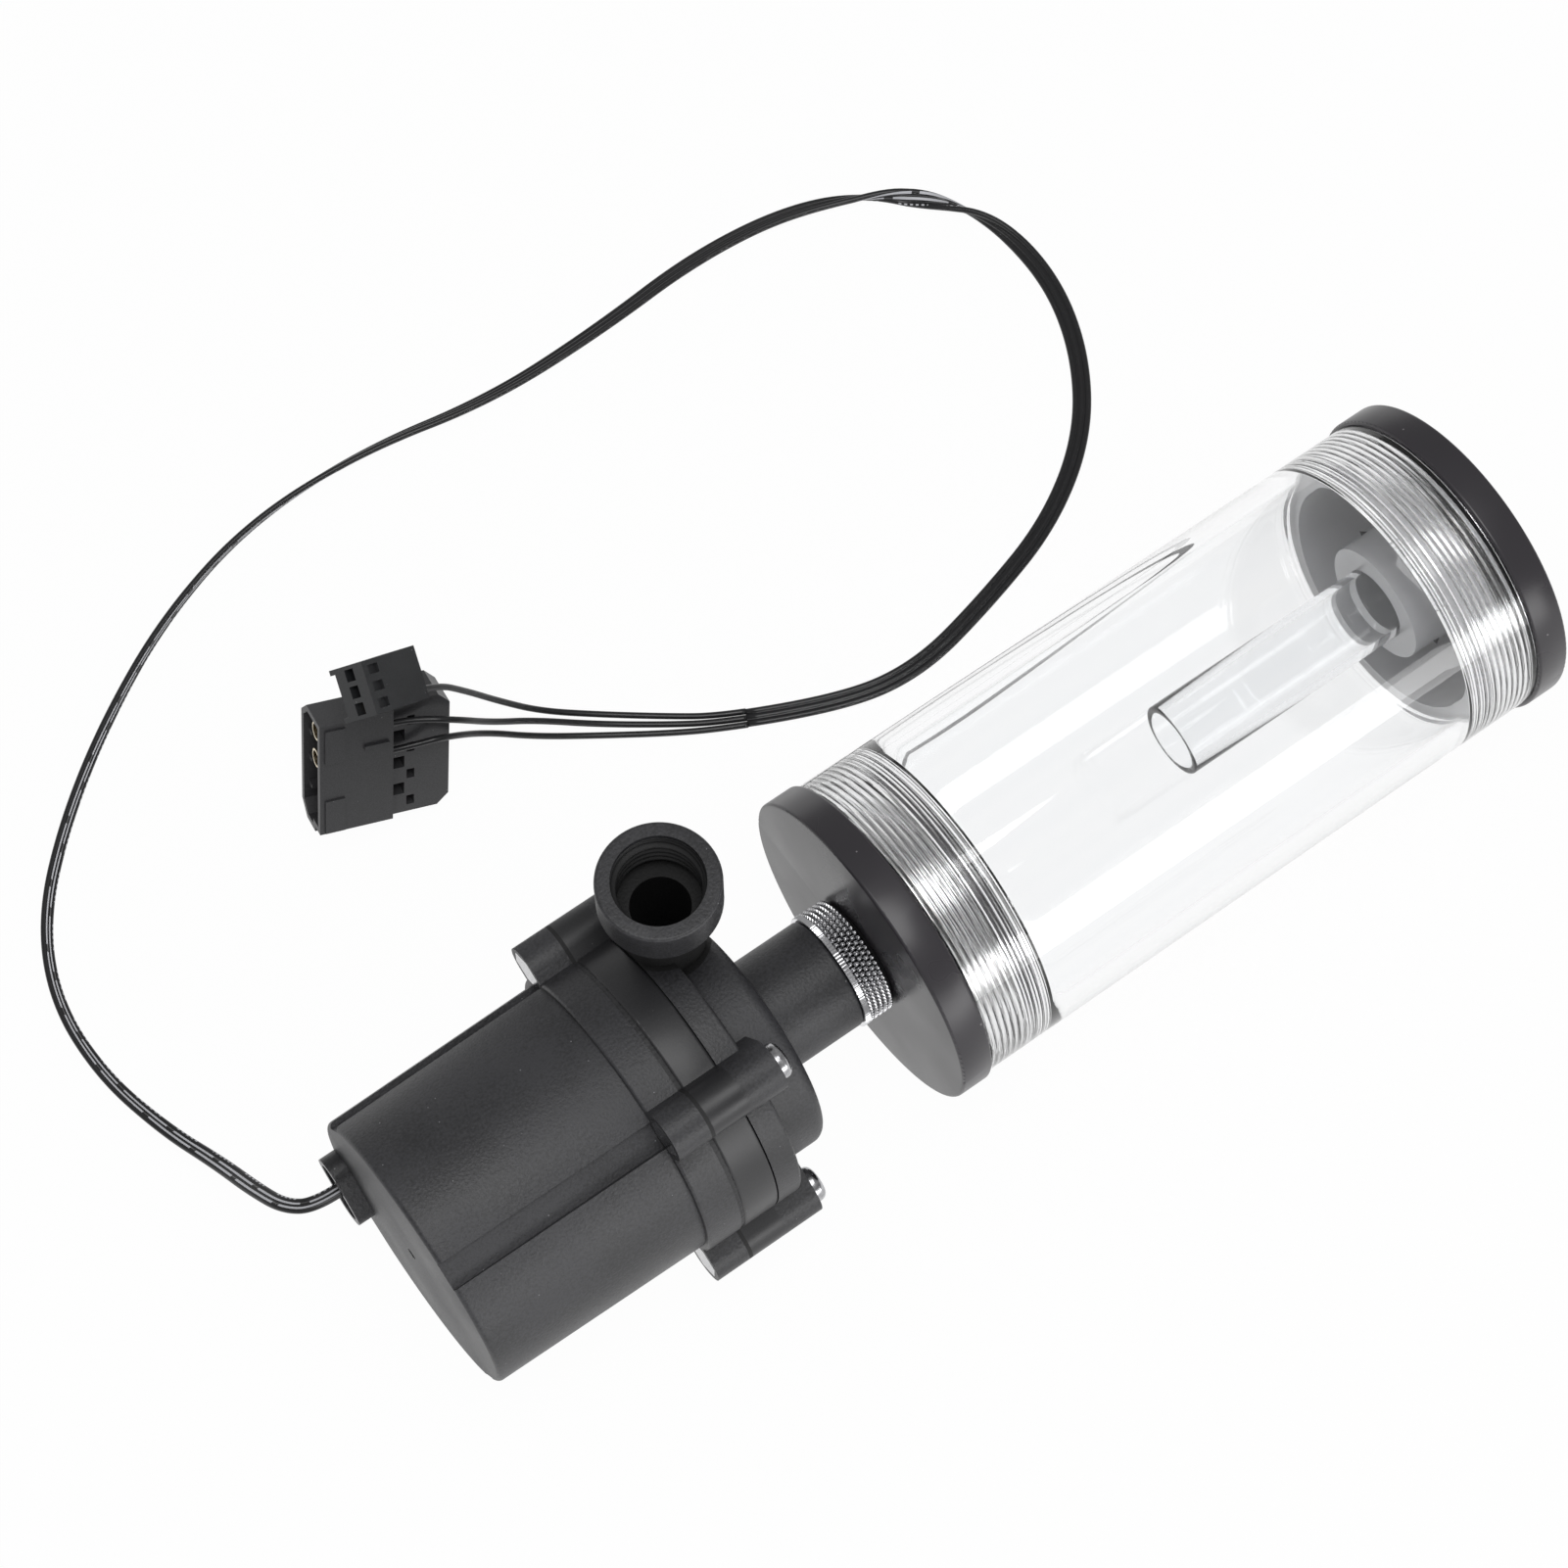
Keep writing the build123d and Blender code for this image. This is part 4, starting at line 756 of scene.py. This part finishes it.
def joinSkins(skins):
    # Closed skins as one mesh. Where the sum of a . (b x c) over a skin's triangles is negative, its
    # faces are turned
    allPoints, allFaces, count = [], [], 0
    for points, faces in skins:
        a, b, c, d = [points[faces[:, k]] for k in range(4)]
        volume = np.sum(a * np.cross(b, c)) + np.sum(a * np.cross(c, d))
        allPoints.append(points)
        allFaces.append((faces if volume > 0 else faces[:, ::-1]) + count)
        count += len(points)
    return np.vstack(allPoints), np.vstack(allFaces)


def plugOutline(t, inset):
    # The open shell's section, drawn smaller by the inset: its far corners are cut off at 45 degrees, and
    # a step runs along the low edge of the broad wall
    w, h, k = t["width"] / 2, t["height"], t["corner"] + inset * math.tan(math.pi / 8)
    stepY, stepZ = t["stepWidth"] - w + inset, h - t["stepHeight"] - inset
    return [(w - inset, h - inset), (stepY, h - inset), (stepY, stepZ), (inset - w, stepZ), (inset - w, k),
            (k - w, inset), (w - k, inset), (w - inset, k)]


def plugSkins(t):
    # The shell runs from its back over the outside to the mouth and down the inside to the floor.
    # Dividers stand on both long walls, and a rib and two key pads on the broad face
    rings = []
    floorX, wall = t["depth"] - t["length"], t["wall"]
    for x, inset in ((0, 0), (-t["length"], 0), (-t["length"], wall), (floorX, wall)):
        rings.append([(x, y, z) for y, z in plugOutline(t, inset)])
    skins = [closedStack(rings)]
    sunk = t["overlap"]
    mouth = t["recess"] - t["length"]
    reach = (mouth, floorX + sunk)
    low, high = wall - sunk, t["height"] - wall + sunk
    for y in (-t["pitch"], 0, t["pitch"]):
        sides = (y - t["dividerWidth"] / 2, y + t["dividerWidth"] / 2)
        skins.append(brick(reach, sides, (low, low + t["dividerHeight"])))
        skins.append(brick(reach, sides, (high - t["dividerHeight"], high)))
    base = t["height"] - sunk
    skins.append(brick(t["ribX"], t["ribY"], (base, t["height"] + t["ribHeight"])))
    for y in t["padPlaces"]:
        pad = (mouth, mouth + t["padLength"]), (y, y + t["padWidth"]), (base, t["height"] + t["padHeight"])
        skins.append(brick(*pad))
    return skins


def socketSkin(t):
    # A block on a grid. The top is at the height, or the recess depth lower inside a crenel or a window,
    # and grid lines stand in close pairs at each edge. Towards the far end the width shrinks, which cuts
    # both corners off
    hair = 0.012
    crenels = [(0, place + t["shift"]) for place in (-t["pitch"], 0, t["pitch"])]
    middle = t["windowStart"] + t["window"][0] / 2
    windows = [(middle, place * t["pitch"] + t["shift"]) for place in (-1.5, -0.5, 0.5, 1.5)]
    edgesX = [t["crenel"][0], t["windowStart"], t["windowStart"] + t["window"][0]]
    edgesY = [y + s * t["crenel"][1] / 2 for _, y in crenels for s in (-1, 1)]
    edgesY += [y + s * t["window"][1] / 2 for _, y in windows for s in (-1, 1)]
    x = np.sort([0, t["socketLength"] - t["socketCorner"], t["socketLength"]] + [
        e + s * hair for e in edgesX for s in (-1, 1)])
    y = np.sort([t["socketLow"], t["socketHigh"]] + [e + s * hair for e in edgesY for s in (-1, 1)])
    x, y = np.meshgrid(x, y, indexing="ij")
    deep = np.zeros_like(x, bool)
    for (cx, cy), lx, ly in [(c, 2 * t["crenel"][0], t["crenel"][1]) for c in crenels] + [
            (c, *t["window"]) for c in windows]:
        deep |= (np.abs(x - cx) < lx / 2) & (np.abs(y - cy) < ly / 2)
    z = t["socketHeight"] - t["recessDepth"] * deep
    cy, reach = (t["socketHigh"] + t["socketLow"]) / 2, (t["socketHigh"] - t["socketLow"]) / 2
    y = cy + (y - cy) * (1 - np.clip(x - t["socketLength"] + t["socketCorner"], 0, None) / reach)
    rows, columns = x.shape
    number = np.arange(rows * columns).reshape(rows, columns)
    loop = np.r_[number[0, :-1], number[:-1, -1], number[-1, :0:-1], number[:0:-1, 0]]
    after, under = np.roll(loop, -1), rows * columns
    top = gridFaces(rows, columns, closeColumns=False)
    side = np.stack([loop, loop + under, after + under, after], 1)
    points = np.vstack([np.stack([x, y, z], -1).reshape(-1, 3), np.stack([x, y, 0 * z], -1).reshape(-1, 3)])
    return points, np.vstack([top, top[:, ::-1] + under, side])


def pipeSkin(x, radius, wall, y, z, around=32):
    # A short pipe along the piece between two places, round the point y, z
    angle = np.linspace(0, 2 * np.pi, around, endpoint=False)
    rows = [(x[1], radius), (x[0], radius), (x[0], radius - wall), (x[1], radius - wall)]
    rings = [np.stack([np.full(around, p), y + r * np.cos(angle), z + r * np.sin(angle)], 1) for p, r in rows]
    return np.vstack(rings), gridFaces(4, around, closeRows=True)


def terminalSkins(t):
    # Two pipes in the plug's upper ways, half a pitch and one and a half from its middle
    mouth = t["terminalSetBack"] - t["length"]
    return [pipeSkin((mouth, mouth + t["terminalLength"]), t["terminalRadius"], t["terminalWall"],
                     place * t["pitch"], t["terminalLevel"]) for place in (0.5, 1.5)]


def placeSkins(skins, t):
    # From the leaning piece's own millimetres to the part's metres: place + along x + across y + face z
    points, faces = joinSkins(skins)
    axes = leaningAxes(t["heading"], t["dip"], t["roll"])
    return (points @ axes + np.array(t["place"])) * mm, faces


plugMesh = placeSkins(plugSkins(connector), connector)
powerPlug = makePiece("powerPlug", *plugMesh, materials["connector"], smooth=False)
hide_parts("power_plug")
socketMesh = placeSkins([socketSkin(connector)], connector)
powerSocket = makePiece("powerSocket", *socketMesh, materials["connector"], smooth=False)
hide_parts("power_socket")
terminalMesh = placeSkins(terminalSkins(connector), connector)
brassTerminals = makePiece("brassTerminals", *terminalMesh, materials["brass"])
splitEdges(brassTerminals, 40)
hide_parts("power_terminals")
print("connectors done")

print("cords done")


light = {"worldStrength": 0.36, "floorWhite": 0.9, "floorSize": 6.0, "floorGlow": 0.97}

floorMaterial = bpy.data.materials.new("studioFloor")
floorMaterial.use_nodes = True
floorTree = floorMaterial.node_tree
floorTree.nodes.clear()
rays = addNode(floorTree, "LightPath")
seen = addNode(floorTree, "Math", {
    0: rays.outputs["Is Camera Ray"], 1: rays.outputs["Is Glossy Ray"]}, operation="MAXIMUM")
seen = addNode(floorTree, "Math", {
    0: seen.outputs[0], 1: rays.outputs["Is Transmission Ray"]}, operation="MAXIMUM")
glow = addNode(floorTree, "Math", {0: seen.outputs[0], 1: light["floorGlow"]}, operation="MULTIPLY")
paper = addNode(floorTree, "BsdfDiffuse", {"Color": [light["floorWhite"]] * 3 + [1.0]})
white = addNode(floorTree, "Emission", {"Color": (1, 1, 1, 1), "Strength": 1.0})
mixed = addNode(floorTree, "MixShader", {0: glow.outputs[0], 1: paper.outputs[0], 2: white.outputs[0]})
addNode(floorTree, "OutputMaterial", {"Surface": mixed.outputs[0]})

half = light["floorSize"] / 2
floorMesh = bpy.data.meshes.new("floor")
corners = [(-half, -half, 0), (half, -half, 0), (half, half, 0), (-half, half, 0)]
floorMesh.from_pydata(corners, [], [(0, 1, 2, 3)])
floorMesh.materials.append(floorMaterial)
floor = bpy.data.objects.new("floor", floorMesh)
bpy.context.scene.collection.objects.link(floor)

world = bpy.data.worlds.new("studio")
world.use_nodes = True
world.node_tree.nodes.clear()
rays = addNode(world.node_tree, "LightPath")
seen = addNode(world.node_tree, "Math", {
    0: rays.outputs["Is Camera Ray"], 1: rays.outputs["Is Transmission Ray"]}, operation="MAXIMUM")
strength = addNode(world.node_tree, "MapRange", {0: seen.outputs[0], 3: light["worldStrength"], 4: 1.0})
sky = addNode(world.node_tree, "Background", {"Color": (1, 1, 1, 1), "Strength": strength.outputs[0]})
addNode(world.node_tree, "OutputWorld", {"Surface": sky.outputs[0]})
bpy.context.scene.world = world

# name, place, aims at, width, height, watts
lamps = [
    ("overheadBox", (-0.08, -0.16, 0.95), (0, 0.02, 0.02), 0.6, 0.5, 4.0),
    ("frontBox", (0.12, -0.85, 0.15), (0, 0, 0.03), 0.9, 0.3, 3.3),
]
for name, place, target, width, height, watts in lamps:
    data = bpy.data.lights.new(name, "AREA")
    data.shape = "RECTANGLE"
    data.size, data.size_y, data.energy = width, height, watts
    lamp = bpy.data.objects.new(name, data)
    lamp.matrix_world = Matrix.Translation(place)
    aim = Matrix.Translation(target).translation - lamp.matrix_world.translation
    lamp.rotation_mode = "QUATERNION"
    lamp.rotation_quaternion = aim.to_track_quat("-Z", "Y")
    bpy.context.scene.collection.objects.link(lamp)
bpy.context.scene.view_settings.view_transform = "Standard"
print("light done")
